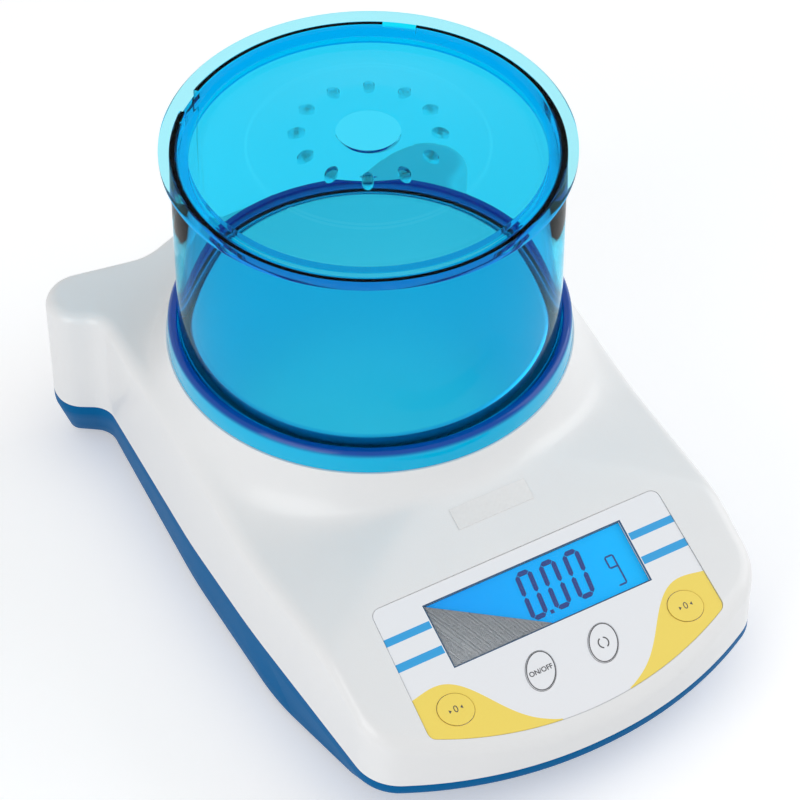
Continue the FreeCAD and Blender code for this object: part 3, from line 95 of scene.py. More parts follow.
def corner_arcs(corners, steps):
    """The arcs that round a closed outline, as corners x steps x 2 points. Each row of corners is x, y
    and a radius: there the line turns on an arc that starts radius * tan(turn / 2) before the corner,
    or less where two arcs share a side."""
    here, radius = corners[:, :2], corners[:, 2]
    side = np.roll(here, -1, axis=0) - here
    run = np.linalg.norm(side, axis=1)
    after = side / run[:, None]
    before = np.roll(after, 1, axis=0)
    cross = before[:, 0] * after[:, 1] - before[:, 1] * after[:, 0]
    turn = np.arctan2(cross, (before * after).sum(1))
    wanted = radius * np.tan(abs(turn) / 2)
    share = np.minimum(np.roll(run, 1) * wanted / (np.roll(wanted, 1) + wanted),
                       run * wanted / (np.roll(wanted, -1) + wanted))
    tangent = np.minimum(wanted, 0.97 * share)
    radius = tangent / np.tan(abs(turn) / 2)
    swing = np.linspace(0, 1, steps)[None, :] * abs(turn)[:, None]
    inward = np.stack([-before[:, 1], before[:, 0]], 1) * np.sign(turn)[:, None]
    return ((here - before * tangent[:, None])[:, None]
            + radius[:, None, None] * (np.sin(swing)[..., None] * before[:, None]
                                       + (1 - np.cos(swing))[..., None] * inward[:, None]))


def rounded_loop(corners, columns):
    """Points at even steps along a closed outline with rounded corners."""
    line = corner_arcs(corners, 25).reshape(-1, 2)
    line = np.vstack([line, line[:1]])
    length = np.append(0, np.cumsum(np.linalg.norm(np.diff(line, axis=0), axis=1)))
    steps = np.linspace(0, length[-1], columns, endpoint=False)
    return np.stack([np.interp(steps, length, line[:, 0]), np.interp(steps, length, line[:, 1])], 1)


def both_sides(right):
    """The whole outline from its right half, front to rear, mirrored in x."""
    return np.vstack([right, right[::-1] * (-1, 1, 1)])


def inward_normals(loop):
    """Unit normals of a closed loop that runs anticlockwise: the tangent turned a quarter left."""
    tangent = np.roll(loop, -1, axis=0) - np.roll(loop, 1, axis=0)
    tangent /= np.linalg.norm(tangent, axis=1)[:, None]
    return np.stack([-tangent[:, 1], tangent[:, 0]], 1)


def soft_max(first, second, width):
    """The larger of two heights, with the step between them rounded over the width."""
    return (first + second + np.hypot(first - second, width)) / 2


def smooth_step(value, low, high):
    """0 below low, 1 above high, and 3t^2 - 2t^3 between."""
    share = np.clip((value - low) / (high - low), 0, 1)
    return share * share * (3 - 2 * share)


def roof_height(x, y):
    """Height of the top sheet at x, y: the panel's plane in front, then a roof that falls to the
    sides, then the level ears, and round the pan a collar whose side falls as 1 - exp(-r / 4)."""
    along = y - PAN_Y
    plane = PANEL_Z + math.tan(PANEL_SLOPE) * (y - PANEL_Y)
    level = ROOF_LEVEL + ROOF_RISE * smooth_step(along, *RISE_SPAN)
    fade = 1 - smooth_step(along, *FALL_SPAN)
    roof = level + fade * ROOF_FALL * (ROOF_HALF - np.hypot(x, RIDGE_WIDTH))
    crown = -soft_max(-plane, -roof, ROOF_BLEND)
    away = np.hypot(x, along) - COLLAR_RADIUS
    fallen = COLLAR_DROP * (1 - np.exp(-np.maximum(away, 0) / COLLAR_FADE))
    collar = COLLAR_TOP - fallen - COLLAR_LEAN * away
    return np.minimum(soft_max(crown, collar, COLLAR_BLEND), COLLAR_TOP)


def new_piece(name, points, faces):
    """A mesh object from points in millimetres and faces of point numbers."""
    mesh = bpy.data.meshes.new(name)
    mesh.from_pydata((np.asarray(points, float) * MM).tolist(), [], faces)
    piece = bpy.data.objects.new(name, mesh)
    bpy.context.scene.collection.objects.link(piece)
    return piece


def mesh_points(mesh):
    """The mesh's points in metres, as an array of x, y, z."""
    points = np.empty(len(mesh.vertices) * 3)
    mesh.vertices.foreach_get("co", points)
    return points.reshape(-1, 3)


def grid_mesh(name, points, around=True, along=False):
    """A mesh from an array of rows x columns x 3 points in millimetres. Around joins the last column
    to the first and along the last row to the first. The faces are turned so that the signed volume,
    the sum of a . (b x c) over the triangles, is positive."""
    rows, columns = points.shape[:2]
    row = np.arange(rows if along else rows - 1)
    column = np.arange(columns if around else columns - 1)
    row, column = np.meshgrid(row, column, indexing="ij")
    next_row, next_column = (row + 1) % rows, (column + 1) % columns
    faces = np.stack([row * columns + column, row * columns + next_column,
                      next_row * columns + next_column, next_row * columns + column], -1).reshape(-1, 4)
    flat = points.reshape(-1, 3)
    first, second, third, fourth = (flat[faces[:, corner]] for corner in range(4))
    volume = (first * np.cross(second, third)).sum() + (first * np.cross(third, fourth)).sum()
    if volume < 0:
        faces = faces[:, ::-1]
    return new_piece(name, flat, faces.tolist())


def finish_mesh(piece, sharp_degrees=35, weld=0.0):
    """Applies the piece's modifiers, merges doubled points where asked, and shades it smooth except
    at edges sharper than the angle."""
    graph = bpy.context.evaluated_depsgraph_get()
    mesh = bpy.data.meshes.new_from_object(piece.evaluated_get(graph))
    piece.modifiers.clear()
    piece.data = mesh
    if weld:
        work = bmesh.new()
        work.from_mesh(mesh)
        bmesh.ops.remove_doubles(work, verts=work.verts, dist=weld * MM)
        work.to_mesh(mesh)
        work.free()
    mesh.polygons.foreach_set("use_smooth", np.ones(len(mesh.polygons), bool))
    mesh.set_sharp_from_angle(angle=math.radians(sharp_degrees))
    return piece


def prism(name, outline, low, high):
    """A closed prism on an outline of x, y points, from one height to another."""
    count = len(outline)
    points = np.vstack([np.column_stack([outline, np.full(count, height)]) for height in (low, high)])
    here = np.arange(count)
    after = (here + 1) % count
    sides = np.stack([here, after, after + count, here + count], 1).tolist()
    return new_piece(name, points, sides + [here[::-1].tolist(), (here + count).tolist()])


def onto_panel(piece):
    """Turns a piece built flat (x, up-slope, outwards) onto the panel's plane, in its mesh."""
    points = mesh_points(piece.data)
    up, out = points[:, 1].copy(), points[:, 2].copy()
    points[:, 1] = PANEL_Y * MM + up * math.cos(PANEL_SLOPE) - out * math.sin(PANEL_SLOPE)
    points[:, 2] = PANEL_Z * MM + up * math.sin(PANEL_SLOPE) + out * math.cos(PANEL_SLOPE)
    piece.data.vertices.foreach_set("co", points.ravel())
    return piece


def cut_away(piece, tools):
    """Cuts closed tools out of a closed piece, one after another, and deletes them."""
    for tool in tools:
        step = piece.modifiers.new("cut", "BOOLEAN")
        step.operation, step.solver, step.object = "DIFFERENCE", "MANIFOLD", tool
        finish_mesh(piece)
        bpy.data.objects.remove(tool)


def rectangle(low, high):
    """The outline of a rectangle between two opposite corners, anticlockwise."""
    return np.array([(low[0], low[1]), (high[0], low[1]), (high[0], high[1]), (low[0], high[1])])


def oval(centre, long_radius, short_radius, lean, count=72):
    """An oval outline whose long axis leans clockwise from the up-slope direction."""
    angle = np.linspace(0, 2 * math.pi, count, endpoint=False)
    lean = math.radians(lean)
    along = np.array([math.sin(lean), math.cos(lean)]) * long_radius
    across = np.array([math.cos(lean), -math.sin(lean)]) * short_radius
    loop = np.array(centre) + np.cos(angle)[:, None] * along + np.sin(angle)[:, None] * across
    return loop[::-1]


def label_outline(grow):
    """The control label's outline: straight top and sides, corners of 3 mm, and a lower edge on one
    large arc through (0, -53). The low corners touch the side line and that arc."""
    top, low, bottom = 5.4 + grow, -40.4, -53.0 - grow
    top_half, low_half, corner = 54.8 + grow, 56.4 + grow, 3.0 + grow
    bow = low - bottom
    bow_radius = (low_half ** 2 + bow ** 2) / (2 * bow)
    bow_middle = np.array([0, bottom + bow_radius])
    start, end = np.array([top_half, top]), np.array([low_half, low])
    down = (end - start) / np.linalg.norm(end - start)
    inside = np.array([down[1], -down[0]])
    line = start + inside * corner - bow_middle
    reach = bow_radius - corner
    half = line @ down
    centre = bow_middle + line + down * (-half + math.sqrt(half ** 2 - line @ line + reach ** 2))
    from_angle = math.atan2(-inside[1], -inside[0])
    ray = centre - bow_middle
    to_angle = math.atan2(ray[1], ray[0])
    swing = np.linspace(from_angle, to_angle, 10)
    low_corner = centre + corner * np.stack([np.cos(swing), np.sin(swing)], 1)
    top_centre = start + inside * corner + down * corner
    top_centre[1] = top - corner
    swing = np.linspace(math.pi / 2, from_angle, 10)
    top_corner = top_centre + corner * np.stack([np.cos(swing), np.sin(swing)], 1)
    arc = np.linspace(to_angle, -math.pi / 2, 24)[1:-1]
    bow_line = bow_middle + bow_radius * np.stack([np.cos(arc), np.sin(arc)], 1)
    right = np.vstack([top_corner, low_corner, bow_line])
    return np.vstack([right, [(0, bottom)], right[::-1] * (-1, 1)])[::-1]


loop = rounded_loop(both_sides(OUTLINE), COLUMNS)
inwards = inward_normals(loop)
wall_top = roof_height(*loop.T) - EDGE
rows = [np.column_stack([loop, PARTING + (wall_top - PARTING) * share]) for share in SIDE_SHARES]
for turn in np.linspace(0, math.pi / 2, EDGE_STEPS)[1:]:
    at = loop + inwards * EDGE * (1 - math.cos(turn))
    rows.append(np.column_stack([at, roof_height(*at.T) - EDGE * (1 - math.sin(turn))]))
edge_loop = loop + inwards * EDGE
ray = edge_loop - HUB
ray /= np.linalg.norm(ray, axis=1)[:, None]
back = HUB[1] - PAN_Y
reach = np.sqrt(COLLAR_RADIUS ** 2 - (back * ray[:, 0]) ** 2) - back * ray[:, 1]
collar_loop = HUB + reach[:, None] * ray
spoke = (collar_loop - (0, PAN_Y)) / COLLAR_RADIUS
for share in 1 - (1 - np.linspace(0, 1, ROOF_STEPS)[1:]) ** ROOF_CROWDING:
    at = edge_loop + (collar_loop - edge_loop) * share
    rows.append(np.column_stack([at, roof_height(*at.T)]))
for radius, height in ((COLLAR_RADIUS - 0.5, COLLAR_TOP), (DISH_RADIUS, COLLAR_TOP),
                       (DISH_RADIUS, DISH_FLOOR), (POST_HOLE, DISH_FLOOR)):
    rows.append(np.column_stack([np.array([0, PAN_Y]) + radius * spoke, np.full(COLUMNS, height)]))
upper = grid_mesh("upper_moulding", np.array(rows))
shell = upper.modifiers.new("wall", "SOLIDIFY")
shell.thickness, shell.offset, shell.use_even_offset = WALL * MM, -1, False
finish_mesh(upper)

KEYS = {"key_on_off": ((-12, -34.9), 6.8, 5.1, 28.6),
        "key_unit": ((12, -34.9), 6.8, 5.1, 28.6),
        "key_tare_left": ((-44.1, -35), 6.2, 5.3, 113.7),
        "key_tare_right": ((44.1, -35), 6.2, 5.3, 113.7)}
KEY_GAP = 0.25
bed = onto_panel(prism("bed", label_outline(BED_GAP), -BED_DEPTH, BED_OVER))
window = rectangle((-SIGHT_HALF - SIGHT_GAP, -SIGHT_TALL - SIGHT_GAP), (SIGHT_HALF + SIGHT_GAP, SIGHT_GAP))
openings = [onto_panel(prism("window_cut", window, WINDOW_CUT, CUT_OVER))]
for centre, long_radius, short_radius, lean in KEYS.values():
    cut = oval(centre, long_radius + KEY_GAP, short_radius + KEY_GAP, lean)
    openings.append(onto_panel(prism("key_cut", cut[::-1], KEY_CUT, CUT_OVER)))
vial_low, vial_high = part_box("level_vial")
VIAL_Y = (vial_low.y + vial_high.y) / 2 / MM
openings.append(prism("vial_cut", oval((0, VIAL_Y), VIAL_HOLE, VIAL_HOLE, 0)[::-1], *VIAL_CUT))
socket_low, socket_high = (np.array(corner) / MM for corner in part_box("power_socket"))
past_rear = BODY_HALF_DEPTH + 6
socket_hole = rectangle(socket_low, (socket_high[0], past_rear))
openings.append(prism("socket_cut", socket_hole, socket_low[2], socket_high[2]))
cut_away(upper, [bed] + openings)


class Value:
    """A number that varies over a surface: the operators on it add Math nodes to its paint."""

    def __init__(self, paint, socket):
        self.paint, self.socket = paint, socket

    def join(self, operation, other=0.0, third=0.0):
        """Joins values or plain numbers by one Math node."""
        node = self.paint.node("ShaderNodeMath", {"operation": operation}, {0: self, 1: other, 2: third})
        return Value(self.paint, node.outputs[0])

    def __add__(self, other):
        return self.join("ADD", other)

    __radd__ = __add__

    def __sub__(self, other):
        return self.join("SUBTRACT", other)

    def __rsub__(self, other):
        return self.join("MULTIPLY_ADD", -1.0, other)

    def __mul__(self, other):
        return self.join("MULTIPLY", other)

    __rmul__ = __mul__

    def __gt__(self, other):
        return self.join("GREATER_THAN", other)

    def __lt__(self, other):
        return self.join("LESS_THAN", other)


class Paint:
    """One finish of the balance: a Principled shader whose plain settings are its sockets' values."""

    def __init__(self, name, **settings):
        self.material = bpy.data.materials.new(name)
        self.material.use_nodes = True
        self.tree = self.material.node_tree
        self.shader = self.tree.nodes["Principled BSDF"]
        for setting, value in settings.items():
            socket = setting.replace("_", " ").title().replace("Ior", "IOR")
            self.shader.inputs[socket].default_value = value

    def node(self, kind, settings=None, inputs=None):
        """Adds any node: its settings first, then the values or links of its sockets."""
        node = self.tree.nodes.new(kind)
        for setting, value in (settings or {}).items():
            setattr(node, setting, value)
        for key, value in (inputs or {}).items():
            if isinstance(value, Value):
                value = value.socket
            if isinstance(value, bpy.types.NodeSocket):
                self.tree.links.new(value, node.inputs[key])
            else:
                node.inputs[key].default_value = value
        return node

    def place(self):
        """Object coordinates as three values in millimetres."""
        spot = self.node("ShaderNodeTexCoord").outputs["Object"]
        parts = self.node("ShaderNodeSeparateXYZ", None, {0: spot})
        return [Value(self, socket) * 1000.0 for socket in parts.outputs]

    def from_axis(self, axis_y):
        """Distance in millimetres from an upright axis at x = 0: sqrt(x^2 + (y - axis_y)^2)."""
        x, y = self.place()[:2]
        return (x * x + (y - axis_y) * (y - axis_y)).join("SQRT")

    def noise(self, scale, detail=2.0):
        """Cloudy noise on object coordinates, with so many waves in a metre."""
        spot = self.node("ShaderNodeTexCoord").outputs["Object"]
        inputs = {"Vector": spot, "Scale": scale, "Detail": detail}
        return Value(self, self.node("ShaderNodeTexNoise", None, inputs).outputs[0])

    def blend(self, share, first, second):
        """Mixes two colours, each a tuple or a link, by a value between 0 and 1."""
        colours = [colour if isinstance(colour, bpy.types.NodeSocket) else (*colour, 1.0)
                   for colour in (first, second)]
        inputs = {0: share, 6: colours[0], 7: colours[1]}
        return self.node("ShaderNodeMix", {"data_type": "RGBA"}, inputs).outputs[2]

    def feed(self, name, link):
        """Links a value or a colour to one of the shader's sockets."""
        self.tree.links.new(link.socket if isinstance(link, Value) else link, self.shader.inputs[name])

    def mottle(self, first, second, scale, low_rough, high_rough):
        """Slight clouds in colour and roughness, such as a moulding or a rolled sheet has."""
        clouds = self.noise(scale)
        self.feed("Base Color", self.blend(clouds, first, second))
        self.feed("Roughness", low_rough + clouds * (high_rough - low_rough))
        return clouds

    def bump(self, height, distance):
        """A relief of so many millimetres that feeds the shader's normal."""
        relief = self.node("ShaderNodeBump", None, {"Height": height, "Distance": distance * MM})
        self.feed("Normal", relief.outputs[0])

    def wear(self, *pieces):
        """Puts the finish on pieces, in place of what they had."""
        for piece in pieces:
            piece.data.materials.clear()
            piece.data.materials.append(self.material)


white = Paint("white_moulding", specular_ior_level=0.5, coat_weight=0.12)
white.mottle((0.80, 0.81, 0.82), (0.83, 0.835, 0.84), 60.0, 0.30, 0.36)
white.bump(white.noise(2500.0), 0.02)
white.wear(upper)
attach(upper, "housing")
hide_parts("upper_housing")

# Lower housing. The blue tub under the white moulding: an upright lip, sides that lean in to the
# flat bottom, a seat for the battery door, and pockets for the levelling feet and screw heads.
BASE_BOTTOM, BASE_FLOOR, BASE_LIP, BASE_WALL = 3.0, 10.0, 20.0, 2.4
DOOR_DEPTH, BAY_TOP, POCKET_TOP, WELL_TOP = 5.0, 12, 9.5, 9.8
POCKET_RADIUS, WELL_RADIUS, DOOR_GAP, BAY_GAP = 11.5, 3.2, 0.3, 0.4
SCREW_X, SCREW_Y = (-64, 64), (-40, 66)
FOOT_NAMES = ("front_left", "front_right", "rear_left", "rear_right")
FOOT_OUTLINE = np.array([
    (33.8, 20 - BODY_HALF_DEPTH, 144), (68.5, -86.8, 17), (77, -42, 100), (75.7, 20, 300),
    (68.3, 101, 9), (79.2, 109, 5.5), (79.2, BODY_HALF_DEPTH - 5.5, 7),
    (43, BODY_HALF_DEPTH - 13.1, 20), (24, BODY_HALF_DEPTH - 5.5, 25)])
lip_loop = corner_arcs(both_sides(OUTLINE), 25).reshape(-1, 2)
foot_loop = corner_arcs(both_sides(FOOT_OUTLINE), 25).reshape(-1, 2)


def tub(name):
    """The base as one closed solid: from the bottom edge up the leaning side (a straight blend of two
    outlines), up the lip, over its rim and down the inside to the floor, with flat ends."""
    lip_in, foot_in = inward_normals(lip_loop), inward_normals(foot_loop)
    count = len(lip_loop)

    def level(points, height):
        """A row of points at one height."""
        return np.column_stack([points, np.full(count, height)])

    side = [(foot_loop + (lip_loop - foot_loop) * share, BASE_BOTTOM + (BASE_LIP - BASE_BOTTOM) * share)
            for share in (0.06, 0.35, 0.7, 0.96)]
    points = [level(foot_loop + foot_in * 1.0, BASE_BOTTOM),
              level(foot_loop + foot_in * 0.3, BASE_BOTTOM + 0.3)]
    points += [level(*pair) for pair in side]
    floor_share = (BASE_FLOOR - BASE_BOTTOM) / (BASE_LIP - BASE_BOTTOM)
    floor_loop = foot_loop + (lip_loop - foot_loop) * floor_share
    points += [level(lip_loop, BASE_LIP + 0.8), level(lip_loop, PARTING - 0.5),
               level(lip_loop + lip_in * 0.4, PARTING), level(lip_loop + lip_in * BASE_WALL, PARTING),
               level(lip_loop + lip_in * BASE_WALL, BASE_LIP),
               level(floor_loop + lip_in * BASE_WALL, BASE_FLOOR)]
    points = np.array(points)
    rows = len(points)
    here = np.arange(count)
    after = (here + 1) % count
    faces = [here[::-1].tolist(), (here + (rows - 1) * count).tolist()]
    for row in range(rows - 1):
        low = row * count
        faces += np.stack([here + low, after + low, after + low + count, here + low + count], 1).tolist()
    return new_piece(name, points.reshape(-1, 3), faces)


def around(node, gap):
    """The rectangle of a node's footprint, grown by a gap, as an outline in millimetres."""
    low, high = (np.array(corner)[:2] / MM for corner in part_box(node))
    return rectangle(low - gap, high + gap)


def disc(x, y, radius, count=64):
    """A circle as an outline: x + r cos(a), y + r sin(a)."""
    angle = np.linspace(0, 2 * math.pi, count, endpoint=False)
    return np.stack([x + radius * np.cos(angle), y + radius * np.sin(angle)], 1)


lower = tub("base_moulding")
below = BASE_BOTTOM - 1
pockets = [prism("door_seat", around("battery_door", DOOR_GAP), below, DOOR_DEPTH)]
pockets.append(prism("bay", around("batteries", BAY_GAP), below, BAY_TOP))
for corner in FOOT_NAMES:
    pad_low, pad_high = (np.array(end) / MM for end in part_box("foot_pad_" + corner))
    pad_disc = disc(*(pad_low + pad_high)[:2] / 2, POCKET_RADIUS)
    pockets.append(prism("pocket", pad_disc, below, POCKET_TOP))
for x in SCREW_X:
    for y in SCREW_Y:
        pockets.append(prism("screw_well", disc(x, y, WELL_RADIUS, 32), below, WELL_TOP))
cut_away(lower, pockets)
blue = Paint("blue_moulding", specular_ior_level=0.04)
blue.mottle((0.0, 0.115, 0.31), (0.0, 0.125, 0.34), 60.0, 0.42, 0.50)
blue.bump(blue.noise(2200.0), 0.02)
blue.wear(lower, nodes["battery_door"])
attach(lower, "housing")
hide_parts("lower_housing")

# Draught ring. A deep blue clear moulding that sits on the collar: a step holds the shield's foot,
# and a thin lip hangs inside the dish and centres it.
EVEN_ANGLES = np.linspace(0, 2 * math.pi, 288, endpoint=False)
RING_RADIUS, RING_RIM, RING_BORE = 69.4, 92.6, 62.5
LIP_RADIUS, LIP_FOOT, STEP_RADIUS = 63.3, 82.2, 65.6
SHIELD_FOOT, SHIELD_TOP = 89.4, 165.0
LIT_SIDE_TOP, SHADED_TOP_LOW = 90.2, 92.0


def turned(name, profile, angles=EVEN_ANGLES, closed=True):
    """A body of revolution on the pan's axis: a closed loop of radius, height and corner rounding is
    rounded by small arcs and carried round the axis. Open profiles start and end on the axis."""
    line = np.array(profile, float)
    if closed:
        line = corner_arcs(line, 5).reshape(-1, 2)
    radius, height = line[:, :1], line[:, 1:]
    points = np.stack([radius * np.cos(angles), PAN_Y + radius * np.sin(angles),
                       np.broadcast_to(height, (len(line), len(angles)))], -1)
    return grid_mesh(name, points, along=closed)


ring = turned("ring_moulding", [
    (RING_BORE, LIP_FOOT, 0.2), (LIP_RADIUS, LIP_FOOT, 0.2), (LIP_RADIUS, COLLAR_TOP, 0.1),
    (RING_RADIUS, COLLAR_TOP, 0.5), (RING_RADIUS - 0.5, RING_RIM - 1.2, 2.4),
    (RING_RADIUS - 1.7, RING_RIM, 1.0), (STEP_RADIUS + 0.05, RING_RIM, 0.4),
    (STEP_RADIUS, SHIELD_FOOT, 0.2), (RING_BORE, SHIELD_FOOT, 0.3)])
finish_mesh(ring, 30)
# Painted light and shade: the ring's upright side is painted bright cyan as if lit, and its top dark blue
# as painted shade, blended over a few millimetres of height.
ring_blue = Paint("dark_clear_blue", transmission_weight=0.15, ior=1.3, coat_weight=0.08)
z = ring_blue.place()[2]
painted_shade_share = ring_blue.node("ShaderNodeMapRange", {"interpolation_type": "SMOOTHSTEP"},
                            {0: z, 1: LIT_SIDE_TOP, 2: SHADED_TOP_LOW}).outputs[0]
ring_blue.feed("Base Color", ring_blue.blend(painted_shade_share, (0.0, 0.56, 0.92), (0.0, 0.075, 0.42)))
ring_blue.feed("Roughness", 0.06 + ring_blue.noise(40.0) * 0.05)
ring_blue.wear(ring)
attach(ring, "ring")
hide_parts("draught_ring")

# Draught shield. A clear blue tube of polished plastic, a little wider at its foot, with two square
# notches in the rear of its rim. It stands in the ring's step.
FOOT_OUTSIDE, TOP_OUTSIDE, TUBE_WALL = 65.3, 64.8, 2.4
NOTCH_BEARINGS, NOTCH_WIDE, NOTCH_DEEP, NOTCH_RADIUS = (51.0, 129.0), 11.5, 3, 63.6
notch_half = NOTCH_WIDE / 2 / NOTCH_RADIUS
notch_ends = np.radians(NOTCH_BEARINGS)[:, None] + np.array([-1, 1]) * notch_half
hair = 1e-4
angles = np.sort(np.concatenate([EVEN_ANGLES, (notch_ends - hair).ravel(), (notch_ends + hair).ravel()]))
shield = turned("shield_tube", [
    (FOOT_OUTSIDE - TUBE_WALL, SHIELD_FOOT, 0.3), (FOOT_OUTSIDE, SHIELD_FOOT, 0.3),
    (TOP_OUTSIDE, SHIELD_TOP, 0.5), (TOP_OUTSIDE - TUBE_WALL, SHIELD_TOP, 0.5)], angles)
points = mesh_points(shield.data)
bearing = np.arctan2(points[:, 1] / MM - PAN_Y, points[:, 0] / MM)
in_notch = ((bearing[:, None] > notch_ends[:, 0]) & (bearing[:, None] < notch_ends[:, 1])).any(1)
lowered = np.minimum(points[:, 2], (SHIELD_TOP - NOTCH_DEEP) * MM)
points[:, 2] = np.where(in_notch, lowered, points[:, 2])
shield.data.vertices.foreach_set("co", points.ravel())
finish_mesh(shield, 40)
CLEAR = {"transmission_weight": 1.0, "ior": 1.05, "coat_weight": 0.12, "coat_roughness": 0.03}
clear_blue = Paint("clear_blue", **CLEAR)
clear_blue.mottle((0.05, 0.67, 0.93), (0.06, 0.69, 0.94), 25.0, 0.0, 0.03)
clear_blue.wear(shield)
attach(shield, "shield")
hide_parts("draught_shield")

# Shield lid. A clear blue moulding: a flat flange on the tube, a spigot inside it, and a floor that
# ramps up to a domed middle with a round hole and a circle of small oval vents.
LID_RADIUS, FLANGE_TOP, LID_SHEET = 68.3, 166.9, 1.8
SPIGOT_INSIDE, SPIGOT_OUTSIDE, SPIGOT_FOOT = 58.9, 62.1, 159.8
RECESS_RADIUS, RECESS_TOP, CREASE_RADIUS, CREASE_TOP = 56.5, 163.1, 39.8, 167.2
HOLE_RADIUS, HOLE_TOP, DOME_TOP = 10.7, 173.0, 171.8
VENT_COUNT, VENT_CIRCLE, VENT_ACROSS, VENT_ALONG, VENT_CUT = 12, 23.3, 1.9, 2.8, (160, 180)
RIM_SHADE_INSIDE, RIM_SHADE_OUTSIDE = 58.7, 62.3
CREASE_HIGHLIGHT_INSIDE, CREASE_HIGHLIGHT_OUTSIDE = 39.4, 40.3
lid = turned("lid_moulding", [
    (LID_RADIUS, SHIELD_TOP, 0.4), (LID_RADIUS, FLANGE_TOP, 0.5), (SPIGOT_INSIDE, FLANGE_TOP, 0.5),
    (SPIGOT_INSIDE, RECESS_TOP, 0.6), (RECESS_RADIUS, RECESS_TOP, 1.0),
    (CREASE_RADIUS, CREASE_TOP, 1.0), (VENT_CIRCLE, DOME_TOP, 8.0), (HOLE_RADIUS, HOLE_TOP, 0.5),
    (HOLE_RADIUS, HOLE_TOP - LID_SHEET, 0.4), (VENT_CIRCLE, DOME_TOP - LID_SHEET, 8.0),
    (CREASE_RADIUS, CREASE_TOP - LID_SHEET, 1.0), (RECESS_RADIUS + 0.4, RECESS_TOP - LID_SHEET, 0.5),
    (SPIGOT_INSIDE, RECESS_TOP - LID_SHEET, 0.4), (SPIGOT_INSIDE, SPIGOT_FOOT, 0.3),
    (SPIGOT_OUTSIDE, SPIGOT_FOOT, 0.4), (SPIGOT_OUTSIDE, SHIELD_TOP, 0.2)])
finish_mesh(lid, 30)
vents = []
for bearing in np.arange(VENT_COUNT) * 2 * math.pi / VENT_COUNT:
    turn = np.array([[math.cos(bearing), math.sin(bearing)], [-math.sin(bearing), math.cos(bearing)]])
    oval_loop = oval((VENT_CIRCLE, 0), VENT_ACROSS, VENT_ALONG, 0, 32)[::-1] @ turn + (0, PAN_Y)
    vents.append(prism("vent", oval_loop, *VENT_CUT))
cut_away(lid, vents)
lid_blue = Paint("lid_clear_blue", **CLEAR)
away = lid_blue.from_axis(PAN_Y)
# Painted shade: the band over the spigot wall, where the wall is seen end-on, is painted a deeper blue
# than the rest of the lid.
rim_shade = (away > RIM_SHADE_INSIDE) * (away < RIM_SHADE_OUTSIDE)
# Painted highlight: a thin paler line is painted on the crease where the floor's ramp meets the dome.
crease_highlight = (away > CREASE_HIGHLIGHT_INSIDE) * (away < CREASE_HIGHLIGHT_OUTSIDE)
tint = lid_blue.blend(rim_shade, (0.42, 0.90, 0.95), (0.0, 0.58, 0.90))
tint = lid_blue.blend(away > RIM_SHADE_OUTSIDE, tint, (0.38, 0.86, 0.95))
lid_blue.feed("Base Color", lid_blue.blend(crease_highlight, tint, (0.6, 0.95, 0.98)))
lid_blue.feed("Roughness", lid_blue.noise(25.0) * 0.03)
lid_blue.wear(lid)
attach(lid, "lid")
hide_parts("shield_lid")

# Weighing pan. Brushed stainless sheet with a rolled edge and a short skirt, lying on four rubber
# cushions. It lifts straight off.
PAN_RADIUS, PAN_TOP, PAN_SHEET, SKIRT_FOOT = 60.0, 92.0, 1.2, 88.0
pan = turned("pan_sheet", [
    (0.0, PAN_TOP - PAN_SHEET), (PAN_RADIUS - 1.4, PAN_TOP - PAN_SHEET),
    (PAN_RADIUS - PAN_SHEET, PAN_TOP - 1.4), (PAN_RADIUS - PAN_SHEET, SKIRT_FOOT + 0.1),
    (PAN_RADIUS - 1.0, SKIRT_FOOT), (PAN_RADIUS - 0.2, SKIRT_FOOT), (PAN_RADIUS, SKIRT_FOOT + 0.2),
    (PAN_RADIUS, PAN_TOP - 1.4), (PAN_RADIUS - 0.3, PAN_TOP - 0.6), (PAN_RADIUS - 1.0, PAN_TOP - 0.1),
    (PAN_RADIUS - 1.8, PAN_TOP), (40.0, PAN_TOP), (20.0, PAN_TOP), (0.0, PAN_TOP)], closed=False)
finish_mesh(pan, 30, weld=0.001)
steel = Paint("pan_steel", metallic=1.0)
x, y = steel.place()[:2]
grain = steel.node("ShaderNodeCombineXYZ", None, {0: x * 0.03, 1: y * 8.0, 2: 0.0}).outputs[0]
strokes = Value(steel, steel.node("ShaderNodeTexNoise", {"noise_dimensions": "2D"}, {
    "Vector": grain, "Scale": 1.0, "Detail": 2.0}).outputs[0])
steel.feed("Base Color", steel.blend(strokes, (0.76, 0.76, 0.77), (0.80, 0.80, 0.81)))
steel.feed("Roughness", 0.3 + strokes * 0.08)
steel.wear(pan)
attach(pan, "pan")
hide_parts("weighing_pan")

# Pan support, platform bracket and mounting plate. Die-cast aluminium, left as cast; the load cell
# between them is a milled bar, and plain steel screws and spacers hold the stack together.
cast = Paint("cast_metal", metallic=1.0)
cast.mottle((0.50, 0.51, 0.53), (0.60, 0.61, 0.63), 500.0, 0.42, 0.58)
cast.bump(cast.noise(1800.0), 0.05)
cast.wear(*(nodes[name] for name in ("pan_support", "platform_bracket", "mounting_plate")))
milled = Paint("load_cell_metal", metallic=1.0)
milled.mottle((0.66, 0.67, 0.69), (0.72, 0.73, 0.75), 900.0, 0.22, 0.34)
milled.wear(nodes["load_cell"])
plated = Paint("screw_steel", metallic=1.0)
plated.mottle((0.52, 0.52, 0.54), (0.62, 0.62, 0.63), 700.0, 0.25, 0.38)
plated.wear(*(nodes[name] for name in (
    "support_screw", "bracket_screws", "cell_screws", "plate_screws", "case_screws",
    "overload_stops", "platform_spacer", "cell_spacer")))

# Rubber. Black moulded cushions under the pan and pads under the levelling feet.
rubber = Paint("soft_rubber", specular_ior_level=0.3)
rubber.mottle((0.018, 0.018, 0.02), (0.03, 0.03, 0.032), 800.0, 0.6, 0.78)
rubber.wear(nodes["pan_cushions"], *(nodes["foot_pad_" + corner] for corner in FOOT_NAMES))

